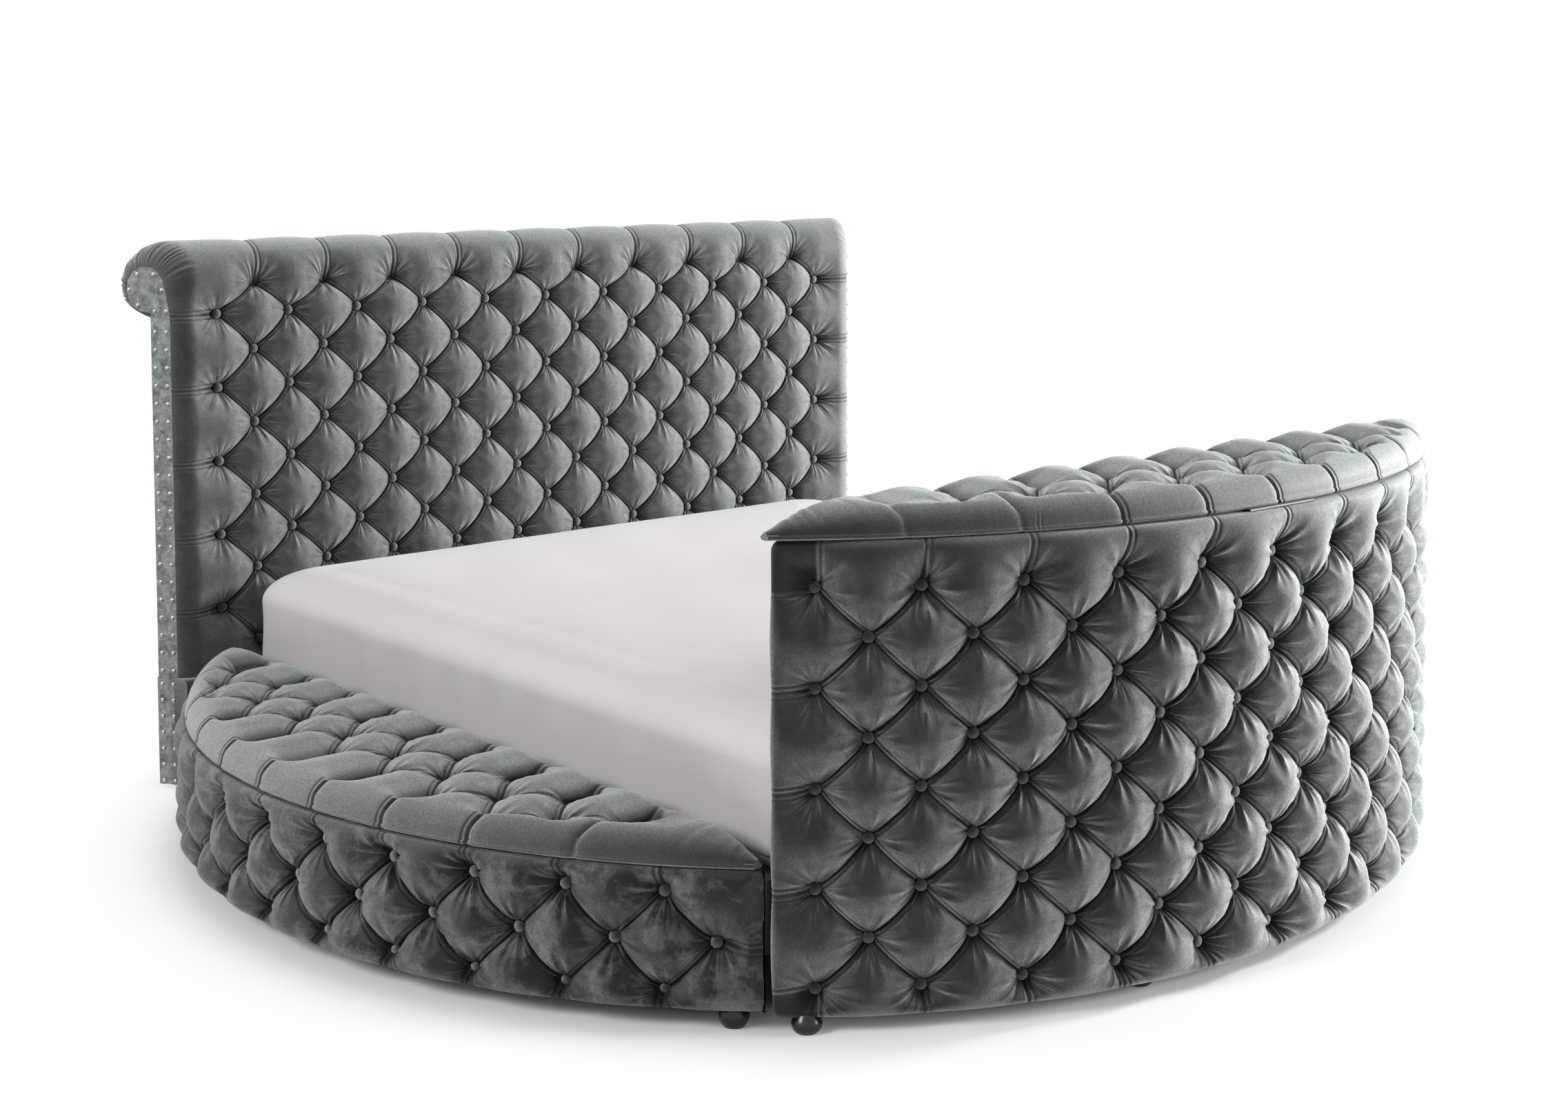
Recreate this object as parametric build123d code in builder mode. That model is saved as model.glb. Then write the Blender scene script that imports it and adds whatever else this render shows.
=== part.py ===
"""Round-plan tufted bed: scroll headboard, two storage benches, and a foot section with a screen lift.

Units are millimetres. The origin is the centre of the round plan, on the floor.
+Y runs to the headboard, -Y to the foot, +Z up. Angles round the plan are
counted from the foot (-Y), positive towards +X.
"""
from build123d import *
import math
import os

# Round plan and what stands round it
face_tuft_depth = 60.0          # from that crest back to a button's seat
seat_foam = 10.0                # foam left behind a button's seat
foam_gap = 0.3                  # room between shaped foam and its board
wall_thickness = 15.0           # bent plywood behind the foam
foot_floor_board = 9.0
bench_floor_board = 6.0
bottom_board_inset = 35.0       # from the crest to that floor's rim
bench_end_width = 23.1          # a bench at its corner with the foot section
section_gap = 0.5               # between a bench and the sections at its ends
cut_over = 50.0                 # how far a cutting tool runs past its work

# Tufting
button_radius = 11.0
button_dome = 5.0
button_seat_gap = 0.4
face_button_slope_share = 1.1   # how steeply a button's underside rises, over its radius
head_button_slope_share = 0.95
lid_button_slope_share = 0.72
edge_slope_share = 0.6          # how the foam rises from the end rows to its edges
row_pitch = 92.0                # height from one button row to the next

# Mattress and sheet
mattress_width = 1830.0
mattress_length = 2126.0
mattress_height = 290.0
mattress_corner = 90.0
mattress_crown_inset = 260.0    # from its sides in to where the crown is flat
mattress_gap = 3.0              # to the foot section and to the headboard's crest
sheet_thickness = 2.0
sheet_hem_height = 20.0         # the sheet ends this far above the mattress's underside
deck_height = 270.0             # top of the slats

# Foot section
foot_bottom = 39.0
foot_top = 900.0
foot_rows = 9
foot_top_row = 811.0
foot_columns = 11
foot_half_step_share = 0.09027  # half of the way between two buttons, over the corner's angle
foot_cover_thickness = 12.0
foot_board_thickness = 18.0

# Benches
rail_room = 42.0                # from the mattress to a side rail
bench_bottom = 49.0
bench_top = 303.0
bench_board_thickness = 18.0
bench_rows = 3
bench_top_row = 251.0
bench_first_share = 0.03244     # of the angle between a bench's two corners
bench_half_step_share = 0.04138
bench_half_steps = 24

# Lids
lid_seam = 3.0                  # between a box and its lid, where the hinge leaves lie
lid_board = 15.0
lid_board_inset = 6.0
lid_pitch = 196.0               # between two buttons of a lid's row
lid_rows = 3
lid_row_pitch = 95.0            # from the straight edge to the first row, and on to the next
lid_edge_room = 100.0           # from the outer row to the lid's edge where the lid is widest
lid_crest = 52.0                # cushion above its board
lid_valley = 17.0
lid_side = 26.0
lid_shoulder = 44.0
lid_shoulder_in = 16.0
lid_end_gap = 2.0
lid_edge_inset = 35.0           # from the faces' crest in to a lid's edge, at its middle
lid_corner_inset = 4.1          # the same along the foot section's inner face, at its corners

# Hinges
knuckle_radius = 4.0
foot_knuckle_radius = 5.0
hinge_pin_radius = 2.0
hinge_run = 0.05                # between a pin and its knuckles
knuckle_gap = 0.3
leaf_thickness = 1.3
bench_hinge_length = 76.0
bench_hinge_spacing = 600.0
foot_hinge_length = 190.0
foot_middle_knuckle = 50.0
foot_hinge_out = 6.0            # from the lid's edge to the hinge pin
bench_hinge_out = 5.0

# Headboard
head_overhang = 110.0           # from a bench's inner wall out to the trims' front edge
flare_angle = 35.0              # the ends run out towards the back
head_seam = 277.0
head_tuft_depth = 47.5
head_core_foam = 3.5            # foam behind a button's seat
head_side_room = 126.5          # from the end buttons to the trims' front edge
head_top_row = 1264.0
head_rows = 11
head_half_steps = 10
head_border = 35.0
trim_step = 20.0                # trim edge in front of the core
scroll_step = 10.0              # the same round the scroll
core_thickness = 16.0
back_cover_thickness = 6.6
trim_thickness = 8.0
scroll_z = 1237.0
scroll_core_y = 33.0            # half sizes of the scroll's core
scroll_core_z = 47.0
roll_z = 1257.0
roll_half_z = 99.0
roll_underside = 34.5           # foam below the core where the roll meets the back
top_pleat = 12.0
edge_pleat = 6.0
lower_front_step = 3.0          # the lower panel stands in front of the tufts' crest
lower_bottom = 10.0
lower_grow = 3.0
trim_front_setback = 31.0       # from the tufts' crest back to the trims' front edge

# Nails
nail_radius = 5.5
nail_height = 4.0
nail_pairs_upper = 20
nail_pairs_lower = 7
upper_nail_low = 295.0
upper_nail_high = 1134.0
lower_nail_low = 19.0
lower_nail_high = 262.0
nail_edge = 11.0                # from a strip's edges to its rows of nails
scroll_nail_ring = 44.0

# Frame under the mattress
rail_thickness = 28.0
rail_top = 285.0
rail_depth = 135.0
ledge_width = 25.0
ledge_depth = 30.0
slat_thickness = 18.0
slat_width = 70.0
slat_count = 15
slat_end_gap = 2.0
beam_width = 60.0
beam_depth = 80.0
leg_radius = 20.0
leg_spacing = 700.0
leg_foot_radius = 28.0
leg_foot_height = 12.0

# Feet
bun_radius = 28.5
bun_neck_radius = 18.0
bench_corner_foot_inset = 65.0  # from the faces' crest
bench_middle_foot_inset = 200.0
bench_foot_shares = (0.0195, 0.3388, 0.6612, 0.9407)
foot_corner_foot_inset = 38.0
foot_middle_foot_inset = 94.0
foot_foot_shares = (0.9172, 0.2808)
glide_radius = 20.0
glide_inner_x = 350.0
glide_outer_inset = 95.0        # from the trims' front edge

# Screen lift
lift_share = 0.5476             # of the room between the foot section's walls, to the lift's axis
column_width = 100.0
column_depth = 70.0
tube_wall = 3.0
tube_run = 0.3
column_length = 620.0
stage_rise = 10.0               # each stage stands this far above the one outside it
base_plate_length = 260.0
base_plate_width = 150.0
base_plate_thickness = 6.0
base_bolt_inset = 20.0
spindle_radius = 8.0
spindle_run = 0.05
spindle_length = 585.0
nut_thickness = 12.0
stage_floor_gap = 3.0
bracket_plate = 3.0
bracket_edge = 20.0             # from the larger hole pattern out
bracket_top = 780.0
bracket_run = 12.0              # from the column's face to the bracket
cap_thickness = 5.0
cap_width = 110.0
gusset_height = 42.0
gusset_x = 45.0
screen_pattern = 400.0          # square hole patterns of a flat screen's back
screen_pattern_small = 200.0
screen_hole_radius = 4.2
screen_hole_radius_small = 3.3
gearbox_width = 60.0
gearbox_height = 60.0
motor_radius = 28.0
motor_length = 175.0
motor_nose_radius = 14.0
motor_nose = 12.0
control_width = 180.0
control_depth = 80.0
control_height = 45.0
control_edge = 6.0
control_x = -240.0
inlet_width = 27.0
inlet_height = 20.0
inlet_depth = 15.0

# Fasteners
bolt_radius = 4.0
bolt_hole_radius = 4.2
bolt_head_radius = 7.5
bolt_head = 5.3
rail_bolt_height = 190.0
rail_bolt_shares = (-0.7526, -0.2822, 0.2822, 0.7526)  # of half the mattress's length
bracket_leg = 60.0
bracket_thickness = 3.0
corner_bracket_height = 55.0
corner_bracket_low = 160.0
joining_plate_x = 700.0
joining_plate_width = 60.0
joining_plate_height = 240.0
joining_plate_thickness = 4.0

# Worked out from the sizes above: the plan's circle runs through the four corners
foot_face_y = -mattress_length / 2
bench_inner_x = mattress_width / 2 + rail_room + rail_thickness
corner_x = bench_inner_x + bench_end_width
corner_angle = math.degrees(math.atan2(corner_x, -foot_face_y))
plan_radius = math.hypot(corner_x, foot_face_y)
half_step_angle = corner_angle * foot_half_step_share
bench_span_angle = 180.0 - 2 * corner_angle
bench_first_angle = corner_angle + bench_span_angle * bench_first_share
bench_half_step_angle = bench_span_angle * bench_half_step_share
seat_radius = plan_radius - face_tuft_depth
foam_radius = seat_radius - seat_foam
wall_outer = foam_radius - foam_gap
wall_inner = wall_outer - wall_thickness
floor_radius = plan_radius - bottom_board_inset
foot_cover_y = foot_face_y - foot_cover_thickness
foot_board_y = foot_cover_y - foot_board_thickness
bracket_size = screen_pattern + 2 * bracket_edge
lift_y = foot_board_y - (wall_inner + foot_board_y) * lift_share
bench_board_x = bench_inner_x + bench_board_thickness
lid_bulge = plan_radius - lid_edge_inset
lid_tip_x = corner_x - lid_corner_inset
lid_rows_out = [lid_row_pitch * (row + 1) for row in range(lid_rows)]
head_half_width = bench_inner_x + head_overhang
head_pitch = 2 * (head_half_width - head_side_room) / head_half_steps
rail_bolt_ys = [share * mattress_length / 2 for share in rail_bolt_shares]
mattress_y = foot_face_y + mattress_gap + mattress_length / 2
head_crest_y = foot_face_y + mattress_length + 2 * mattress_gap
head_seat_y = head_crest_y + head_tuft_depth
head_core_y = head_seat_y + head_core_foam
core_back_y = head_core_y + core_thickness
back_y = core_back_y + back_cover_thickness
scroll_y = head_core_y + scroll_core_y
roll_half_y = scroll_y - head_crest_y
trim_front_y = head_crest_y + trim_front_setback
lower_front_y = head_crest_y - lower_front_step
bench_foot_y = foot_face_y + section_gap
bench_head_y = lower_front_y - section_gap
flare = math.tan(math.radians(flare_angle))
trim_run_x = trim_thickness / math.cos(math.radians(flare_angle))

os.makedirs("parts", exist_ok=True)


def save(builder, name):
    """Name a finished piece and write it."""
    builder.part.label = name
    export_step(builder.part, f"parts/{name}.step")


def polar(radius, angle):
    """A point of the round plan, the angle counted from the foot."""
    turn = math.radians(angle)
    return (radius * math.sin(turn), -radius * math.cos(turn))


def across(radius, y):
    """How far out in X a circle of the plan is at a given Y."""
    return math.sqrt(radius**2 - y**2)


def outline_arc(half_span, chord, bulge):
    """Radius and centre, along the outward direction, of a lid's outline."""
    sagitta = bulge - chord
    radius = (half_span**2 + sagitta**2) / (2 * sagitta)
    return radius, bulge - radius


# Tufted outer faces

def end_radius(crest, beside, angle, side, y):
    """How far out the foam stands at an end face, given the tuft beside it."""
    end_angle = math.degrees(math.atan2(side * across(crest, y), -y))
    way = math.radians(abs(end_angle - angle)) * crest
    return min(crest, beside + way * edge_slope_share)


def tufted_section(height, radii, angles, ends):
    """One level of a curved tufted pad: its outer points, its end faces and its back."""
    (start_side, start_y), (stop_side, stop_y) = ends
    start_edge = end_radius(radii[0], radii[1], angles[0], start_side, start_y)
    stop_edge = end_radius(radii[0], radii[-1], angles[-1], stop_side, stop_y)
    points = [(start_side * across(foam_radius, start_y), start_y)]
    points += [(start_side * across(start_edge, start_y), start_y)]
    points += [polar(radius, angle) for radius, angle in zip(radii[1:], angles)]
    points += [(stop_side * across(stop_edge, stop_y), stop_y)]
    points += [(stop_side * across(foam_radius, stop_y), stop_y)]
    with BuildSketch(Plane.XY.offset(height)) as level:
        with BuildLine():
            Polyline(*points)
            ThreePointArc(points[-1], polar(foam_radius, (angles[0] + angles[-1]) / 2), points[0])
        make_face()
    return level.sketch


def tufted_radii(angles, odd, seat, crest):
    """Radii round a button row: the end first, then seat and crest in turn."""
    return [crest] + [seat if (place % 2 == 1) == odd else crest for place in range(len(angles))]


def curved_levels(bottom, top, top_row, rows, first_odd, angles, ends):
    """All levels of a curved pad, from its bottom edge to its top edge."""
    tucked = [plan_radius - face_tuft_depth * 0.7] * (len(angles) + 1)
    last_row = top_row - (rows - 1) * row_pitch
    last_odd = first_odd if rows % 2 == 1 else not first_odd
    hem_seat = seat_radius + (last_row - bottom) * edge_slope_share
    hem = tufted_radii(angles, last_odd, hem_seat, plan_radius - face_tuft_depth * 0.4)
    levels = [tufted_section(bottom, hem, angles, ends)]
    for row in reversed(range(rows)):
        odd = first_odd if row % 2 == 0 else not first_odd
        radii = tufted_radii(angles, odd, seat_radius, plan_radius)
        levels.append(tufted_section(top_row - row * row_pitch, radii, angles, ends))
    shoulder = top - (top - top_row) * 0.38
    pleat_seat = seat_radius + (shoulder - top_row) * edge_slope_share
    radii = tufted_radii(angles, first_odd, pleat_seat, plan_radius)
    levels.append(tufted_section(shoulder, radii, angles, ends))
    upper = top - (top - top_row) * 0.15
    radii = tufted_radii(angles, first_odd, pleat_seat, plan_radius - face_tuft_depth * 0.15)
    levels.append(tufted_section(upper, radii, angles, ends))
    levels.append(tufted_section(top, tucked, angles, ends))
    return levels


foot_angles = [half_step_angle * (place - foot_columns + 1) for place in range(2 * foot_columns - 1)]
foot_ends = ((-1, foot_face_y), (1, foot_face_y))
bench_angles = [bench_first_angle + bench_half_step_angle * place for place in range(bench_half_steps)]


def bench_side_angles(side):
    """The places of a bench's buttons, from the foot to the head."""
    return [side * angle for angle in bench_angles]


def dome_middle(rim, rise):
    """A point halfway along a round dome's side, its rim at height zero."""
    radius = (rim**2 + rise**2) / (2 * rise)
    half_turn = math.asin(rim / radius) / 2
    return radius * math.sin(half_turn), rise - radius + radius * math.cos(half_turn)


# One tuft button: a cone in its tuft, under a round dome

def tuft_button(slope_share):
    """A covered button whose underside rises from its seat to its rim."""
    rise = button_seat_gap + slope_share * button_radius
    middle = dome_middle(button_radius, button_dome)
    with BuildPart() as button:
        with BuildSketch(Plane.XZ):
            with BuildLine():
                Polyline((0, rise + button_dome), (0, button_seat_gap), (button_radius, rise))
                ThreePointArc(
                    (button_radius, rise), (middle[0], rise + middle[1]), (0, rise + button_dome)
                )
            make_face()
        revolve(axis=Axis.Z)
    return button.part


face_button = tuft_button(face_button_slope_share)
head_button = tuft_button(head_button_slope_share)
lid_button = tuft_button(lid_button_slope_share)


def radial_place(radius, angle, height):
    """A seat on a curved face, its axis pointing out from the plan's centre."""
    x, y = polar(radius, angle)
    return Plane(origin=(x, y, height), x_dir=(0, 0, 1), z_dir=(x, y, 0)).location


# Foot section

with BuildPart() as foot_floor:
    with BuildSketch(Plane.XY.offset(foot_bottom)):
        Circle(floor_radius)
        with Locations((0, foot_face_y - floor_radius / 2)):
            Rectangle(2 * floor_radius, floor_radius, mode=Mode.INTERSECT)
    extrude(amount=foot_floor_board)
    with Locations(Plane.XY.offset(foot_bottom + foot_floor_board)):
        with Locations((0, lift_y)):
            with GridLocations(
                base_plate_length - 2 * base_bolt_inset, base_plate_width - 2 * base_bolt_inset, 2, 2
            ):
                Hole(bolt_hole_radius, depth=foot_floor_board)
save(foot_floor, "foot_floor")

foot_wall_low = foot_bottom + foot_floor_board

with BuildPart() as foot_outer_wall:
    with BuildSketch(Plane.XY.offset(foot_wall_low)):
        Circle(wall_outer)
        Circle(wall_inner, mode=Mode.SUBTRACT)
        with Locations((0, foot_cover_y - wall_outer / 2)):
            Rectangle(2 * wall_outer, wall_outer, mode=Mode.INTERSECT)
    extrude(amount=foot_top - foot_wall_low)
save(foot_outer_wall, "foot_outer_wall")

with BuildPart() as foot_inner_wall:
    with BuildSketch(Plane.XY.offset(foot_wall_low)):
        Circle(wall_inner - foam_gap)
        with Locations((0, foot_cover_y - foot_board_thickness / 2)):
            Rectangle(2 * wall_inner, foot_board_thickness, mode=Mode.INTERSECT)
    extrude(amount=foot_top - foot_wall_low)
save(foot_inner_wall, "foot_inner_wall")

with BuildPart() as foot_inner_cover:
    with BuildSketch(Plane.XY.offset(foot_wall_low)):
        Circle(wall_outer)
        with Locations((0, foot_face_y - foot_cover_thickness / 2)):
            Rectangle(2 * wall_outer, foot_cover_thickness, mode=Mode.INTERSECT)
    extrude(amount=foot_top - foot_wall_low)
save(foot_inner_cover, "foot_inner_cover")

with BuildPart() as foot_pad:
    loft(
        curved_levels(foot_wall_low, foot_top, foot_top_row, foot_rows, False, foot_angles, foot_ends),
        ruled=True,
    )
save(foot_pad, "foot_pad")

foot_button_places = [
    radial_place(seat_radius, angle, foot_top_row - row * row_pitch)
    for row in range(foot_rows)
    for place, angle in enumerate(foot_angles)
    if place % 2 == row % 2
]
with BuildPart() as foot_buttons:
    with Locations(*foot_button_places):
        add(face_button)
save(foot_buttons, "foot_buttons")


# Benches

def bench_region(side, radius, inner_x):
    """The plan of a bench out to a radius, as a face in the current sketch."""
    Circle(radius)
    length = bench_head_y - bench_foot_y
    with Locations((side * (inner_x + radius / 2), (bench_head_y + bench_foot_y) / 2)):
        Rectangle(radius, length, mode=Mode.INTERSECT)


def make_bench(side, word):
    """The fixed pieces of one storage bench."""
    low = bench_bottom + bench_floor_board
    tall = bench_top - low
    with BuildPart() as floor:
        with BuildSketch(Plane.XY.offset(bench_bottom)):
            bench_region(side, floor_radius, bench_inner_x)
        extrude(amount=bench_floor_board)
    save(floor, f"bench_floor_{word}")

    with BuildPart() as inner_wall:
        with BuildSketch(Plane.XY.offset(low)):
            Circle(wall_outer)
            with Locations((side * (bench_inner_x + bench_board_thickness / 2), 0)):
                Rectangle(bench_board_thickness, 2 * wall_outer, mode=Mode.INTERSECT)
        extrude(amount=tall)
        with BuildSketch(Plane.YZ.offset(side * (bench_inner_x - cut_over))):
            with Locations(*[(y, rail_bolt_height) for y in rail_bolt_ys]):
                Circle(bolt_hole_radius)
        extrude(amount=side * (bench_board_thickness + 2 * cut_over), mode=Mode.SUBTRACT)
    save(inner_wall, f"bench_inner_wall_{word}")

    with BuildPart() as outer_wall:
        with BuildSketch(Plane.XY.offset(low)):
            bench_region(side, wall_outer, bench_board_x)
            Circle(wall_inner, mode=Mode.SUBTRACT)
        extrude(amount=tall)
    save(outer_wall, f"bench_outer_wall_{word}")

    angles = bench_side_angles(side)
    ends = ((side, bench_foot_y), (side, bench_head_y))
    with BuildPart() as pad:
        loft(curved_levels(low, bench_top, bench_top_row, bench_rows, True, angles, ends), ruled=True)
        inner = Plane(origin=(side * (bench_inner_x + foam_gap), 0, 0), z_dir=(side, 0, 0))
        split(bisect_by=inner, keep=Keep.TOP)
    save(pad, f"bench_pad_{word}")

    places = [
        radial_place(seat_radius, angle, bench_top_row - row * row_pitch)
        for row in range(bench_rows)
        for place, angle in enumerate(angles)
        if place % 2 != row % 2
    ]
    with BuildPart() as buttons:
        with Locations(*places):
            add(face_button)
    save(buttons, f"bench_buttons_{word}")


sides = ((-1, "left"), (1, "right"))
for bench_side, bench_word in sides:
    make_bench(bench_side, bench_word)


# Lids: a board with a tufted cushion on it, widest at the middle and pointed at its ends

def lid_section(plane, width, station, full_width):
    """The cushion's section at one station along the lid's straight edge."""
    scale = min(1.0, width / full_width)
    tall = 0.5 + 0.5 * scale
    rows = []
    for number, out in enumerate(lid_rows_out):
        seat = (station + number) % 2 == 0
        rows.append((out * scale, (lid_valley if seat else lid_crest) * tall))
    edge_top = lid_crest if station % 2 else (lid_crest + lid_valley) / 2
    with BuildSketch(plane) as section:
        with BuildLine():
            Polyline(
                (0, 0),
                (0, lid_side * tall),
                (lid_shoulder_in * scale, edge_top * tall),
                *rows,
                (width - lid_shoulder * scale, (lid_crest - lid_shoulder_in / 2) * tall),
                (width, lid_side * tall),
                (width, 0),
                close=True,
            )
        make_face()
    return section.sketch


def lid_sections(place, half_span, chord, bulge):
    """All sections of a lid's cushion, from one tip to the other."""
    radius, centre = outline_arc(half_span, chord, bulge)
    full_width = lid_rows_out[-1] + lid_edge_room
    count = math.floor((half_span - lid_edge_room / 2) / (lid_pitch / 2))
    stations = [(number, number * lid_pitch / 2) for number in range(-count, count + 1)]
    tip = half_span - lid_end_gap
    stations = [(-count - 1, -tip)] + stations + [(count + 1, tip)]
    sections = []
    for number, along in stations:
        width = centre + math.sqrt(radius**2 - along**2) - chord
        sections.append(lid_section(place(along), max(width, lid_end_gap), number, full_width))
    return sections


def lid_button_places(place, half_span, chord, bulge):
    """The seats of a lid's buttons, where its rows have them."""
    radius, centre = outline_arc(half_span, chord, bulge)
    full_width = lid_rows_out[-1] + lid_edge_room
    least_scale = 0.7 * min(1.0, (bulge - chord) / full_width)
    count = math.floor((half_span - lid_edge_room / 2) / (lid_pitch / 2))
    places = []
    for number in range(-count, count + 1):
        along = number * lid_pitch / 2
        width = centre + math.sqrt(radius**2 - along**2) - chord
        scale = min(1.0, width / full_width)
        for row, out in enumerate(lid_rows_out):
            if (number + row) % 2 == 0 and width - out > lid_edge_room * 0.7 and scale > least_scale:
                seat = place(along).from_local_coords((out * scale, lid_valley * (0.5 + 0.5 * scale)))
                places.append(Plane(origin=seat, z_dir=(0, 0, 1)).location)
    return places


bench_board_top = bench_top + lid_seam + lid_board
foot_board_top = foot_top + lid_seam + lid_board
bench_lid_x = bench_inner_x + lid_end_gap / 2
bench_lid_half = bench_head_y - section_gap * 2
foot_lid_y = foot_face_y - lid_end_gap


def bench_lid_place(side):
    """Sections of a bench's lid stand across Y."""
    def place(along):
        origin = (side * bench_lid_x, along, bench_board_top)
        return Plane(origin=origin, x_dir=(side, 0, 0), z_dir=(0, -side, 0))
    return place


def foot_lid_place(along):
    """Sections of the foot's lid stand across X."""
    return Plane(origin=(along, foot_lid_y, foot_board_top), x_dir=(0, -1, 0), z_dir=(-1, 0, 0))


def lid_board_face(half_span, chord, bulge, place_centre, rotation):
    """A lid board's plan: a slice of a disc, in the current sketch."""
    radius, centre = outline_arc(half_span, chord, bulge)
    with Locations(place_centre(centre)):
        Circle(radius - lid_board_inset)
    depth = bulge - chord
    with Locations(Location(place_centre(chord + depth / 2), rotation)):
        Rectangle(depth, 2 * (half_span - lid_end_gap), mode=Mode.INTERSECT)


def make_bench_lid(side, word):
    """The board, cushion and buttons of one bench's lid."""
    with BuildPart() as board:
        with BuildSketch(Plane.XY.offset(bench_top + lid_seam)):
            lid_board_face(
                bench_lid_half, bench_lid_x, lid_bulge, lambda out: (side * out, 0), 0
            )
        extrude(amount=lid_board)
    save(board, f"bench_lid_board_{word}")

    place = bench_lid_place(side)
    with BuildPart() as cushion:
        loft(lid_sections(place, bench_lid_half, bench_lid_x, lid_bulge), ruled=True)
    save(cushion, f"bench_lid_cushion_{word}")

    with BuildPart() as buttons:
        with Locations(*lid_button_places(place, bench_lid_half, bench_lid_x, lid_bulge)):
            add(lid_button)
    save(buttons, f"bench_lid_buttons_{word}")


for bench_side, bench_word in sides:
    make_bench_lid(bench_side, bench_word)

with BuildPart() as foot_lid_board:
    with BuildSketch(Plane.XY.offset(foot_top + lid_seam)):
        lid_board_face(lid_tip_x, -foot_lid_y, lid_bulge, lambda out: (0, -out), 90)
    extrude(amount=lid_board)
save(foot_lid_board, "foot_lid_board")

with BuildPart() as foot_lid_cushion:
    loft(lid_sections(foot_lid_place, lid_tip_x, -foot_lid_y, lid_bulge), ruled=True)
save(foot_lid_cushion, "foot_lid_cushion")

with BuildPart() as foot_lid_buttons:
    with Locations(*lid_button_places(foot_lid_place, lid_tip_x, -foot_lid_y, lid_bulge)):
        add(lid_button)
save(foot_lid_buttons, "foot_lid_buttons")


# Hinges: two leaves in the seam, their knuckles in turn along one pin

def hinge_leaf(planes, length, middle, radius, width, fixed):
    """One leaf of each hinge: the fixed leaf has the end knuckles, the moving one the middle."""
    half = length / 2
    ends = ((-half, -middle / 2 - knuckle_gap), (middle / 2 + knuckle_gap, half))
    centre = ((-middle / 2, middle / 2),)
    own, other = (ends, centre) if fixed else (centre, ends)
    level = -lid_seam / 2 if fixed else lid_seam / 2 - leaf_thickness
    with BuildPart() as leaf:
        for plane in planes:
            with BuildSketch(plane.offset(-half)):
                with Locations((width / 2, level + leaf_thickness / 2)):
                    Rectangle(width, leaf_thickness)
            extrude(amount=length)
            for start, stop in other:
                with BuildSketch(plane.offset(start - 2 * knuckle_gap)):
                    Circle(radius + knuckle_gap)
                extrude(amount=stop - start + 4 * knuckle_gap, mode=Mode.SUBTRACT)
            for start, stop in own:
                with BuildSketch(plane.offset(start)):
                    Circle(radius)
                extrude(amount=stop - start)
            with BuildSketch(plane.offset(-length)):
                Circle(hinge_pin_radius + hinge_run)
            extrude(amount=2 * length, mode=Mode.SUBTRACT)
    return leaf


def hinge_pins(planes, length, radius):
    """The pins, each with a domed cap at its two ends."""
    with BuildPart() as pins:
        for plane in planes:
            with BuildSketch(plane.offset(-length / 2)):
                Circle(hinge_pin_radius)
            extrude(amount=length)
            for end in (-length / 2 - radius / 2, length / 2):
                with BuildSketch(plane.offset(end)):
                    Circle(radius)
                extrude(amount=radius / 2)
    return pins


bench_pin_x = bench_inner_x - bench_hinge_out
bench_pin_z = bench_top + lid_seam / 2
foot_pin_y = -lid_bulge - foot_hinge_out
foot_pin_z = foot_top + lid_seam / 2
bench_leaf = bench_hinge_out + bench_board_thickness
foot_leaf = wall_outer - wall_inner + (-foot_pin_y - wall_outer)


def bench_hinge_planes(side):
    """The middles of a bench's hinges, along Y."""
    return [
        Plane(origin=(side * bench_pin_x, y, bench_pin_z), x_dir=(side, 0, 0), z_dir=(0, -side, 0))
        for y in (-bench_hinge_spacing, 0, bench_hinge_spacing)
    ]


foot_hinge_plane = Plane(origin=(0, foot_pin_y, foot_pin_z), x_dir=(0, 1, 0), z_dir=(1, 0, 0))
both_benches = bench_hinge_planes(-1) + bench_hinge_planes(1)
bench_middle = bench_hinge_length / 3

save(
    hinge_leaf(both_benches, bench_hinge_length, bench_middle, knuckle_radius, bench_leaf, True),
    "bench_hinge_leaves",
)
save(hinge_pins(both_benches, bench_hinge_length, knuckle_radius), "bench_hinge_pins")
for bench_side, bench_word in sides:
    save(
        hinge_leaf(
            bench_hinge_planes(bench_side), bench_hinge_length, bench_middle, knuckle_radius, bench_leaf,
            False,
        ),
        f"bench_lid_hinge_leaves_{bench_word}",
    )
save(
    hinge_leaf(
        [foot_hinge_plane], foot_hinge_length, foot_middle_knuckle, foot_knuckle_radius, foot_leaf, True
    ),
    "foot_hinge_leaf",
)
save(
    hinge_leaf(
        [foot_hinge_plane], foot_hinge_length, foot_middle_knuckle, foot_knuckle_radius, foot_leaf, False
    ),
    "foot_lid_hinge_leaf",
)
save(hinge_pins([foot_hinge_plane], foot_hinge_length, foot_knuckle_radius), "foot_hinge_pin")


# Headboard: every section runs from a point of the core out to a point of the tufts' crest

def on_ellipse(centre_y, centre_z, half_y, half_z, angle):
    """A point of the scroll, the angle counted from the front over the top."""
    turn = math.radians(angle)
    return (centre_y - half_y * math.cos(turn), centre_z + half_z * math.sin(turn))


def flare_x(y):
    """Half width of the headboard at a depth, on the flared ends."""
    return head_half_width + (y - trim_front_y) * flare


scroll_angles = ((50.0, 40.0), (76.0, 70.0), (102.0, 100.0), (130.0, 130.0), (160.0, 160.0), (190.0, 190.0),
                 (222.0, 222.0), (252.0, 246.0))
row_one_angles = (25.0, 8.0)


def core_point(angle):
    """A point round the scroll's core."""
    return on_ellipse(scroll_y, scroll_z, scroll_core_y, scroll_core_z, angle)


def roll_point(angle):
    """A point round the crest of the padded roll."""
    return on_ellipse(scroll_y, roll_z, roll_half_y, roll_half_z, angle)


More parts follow.
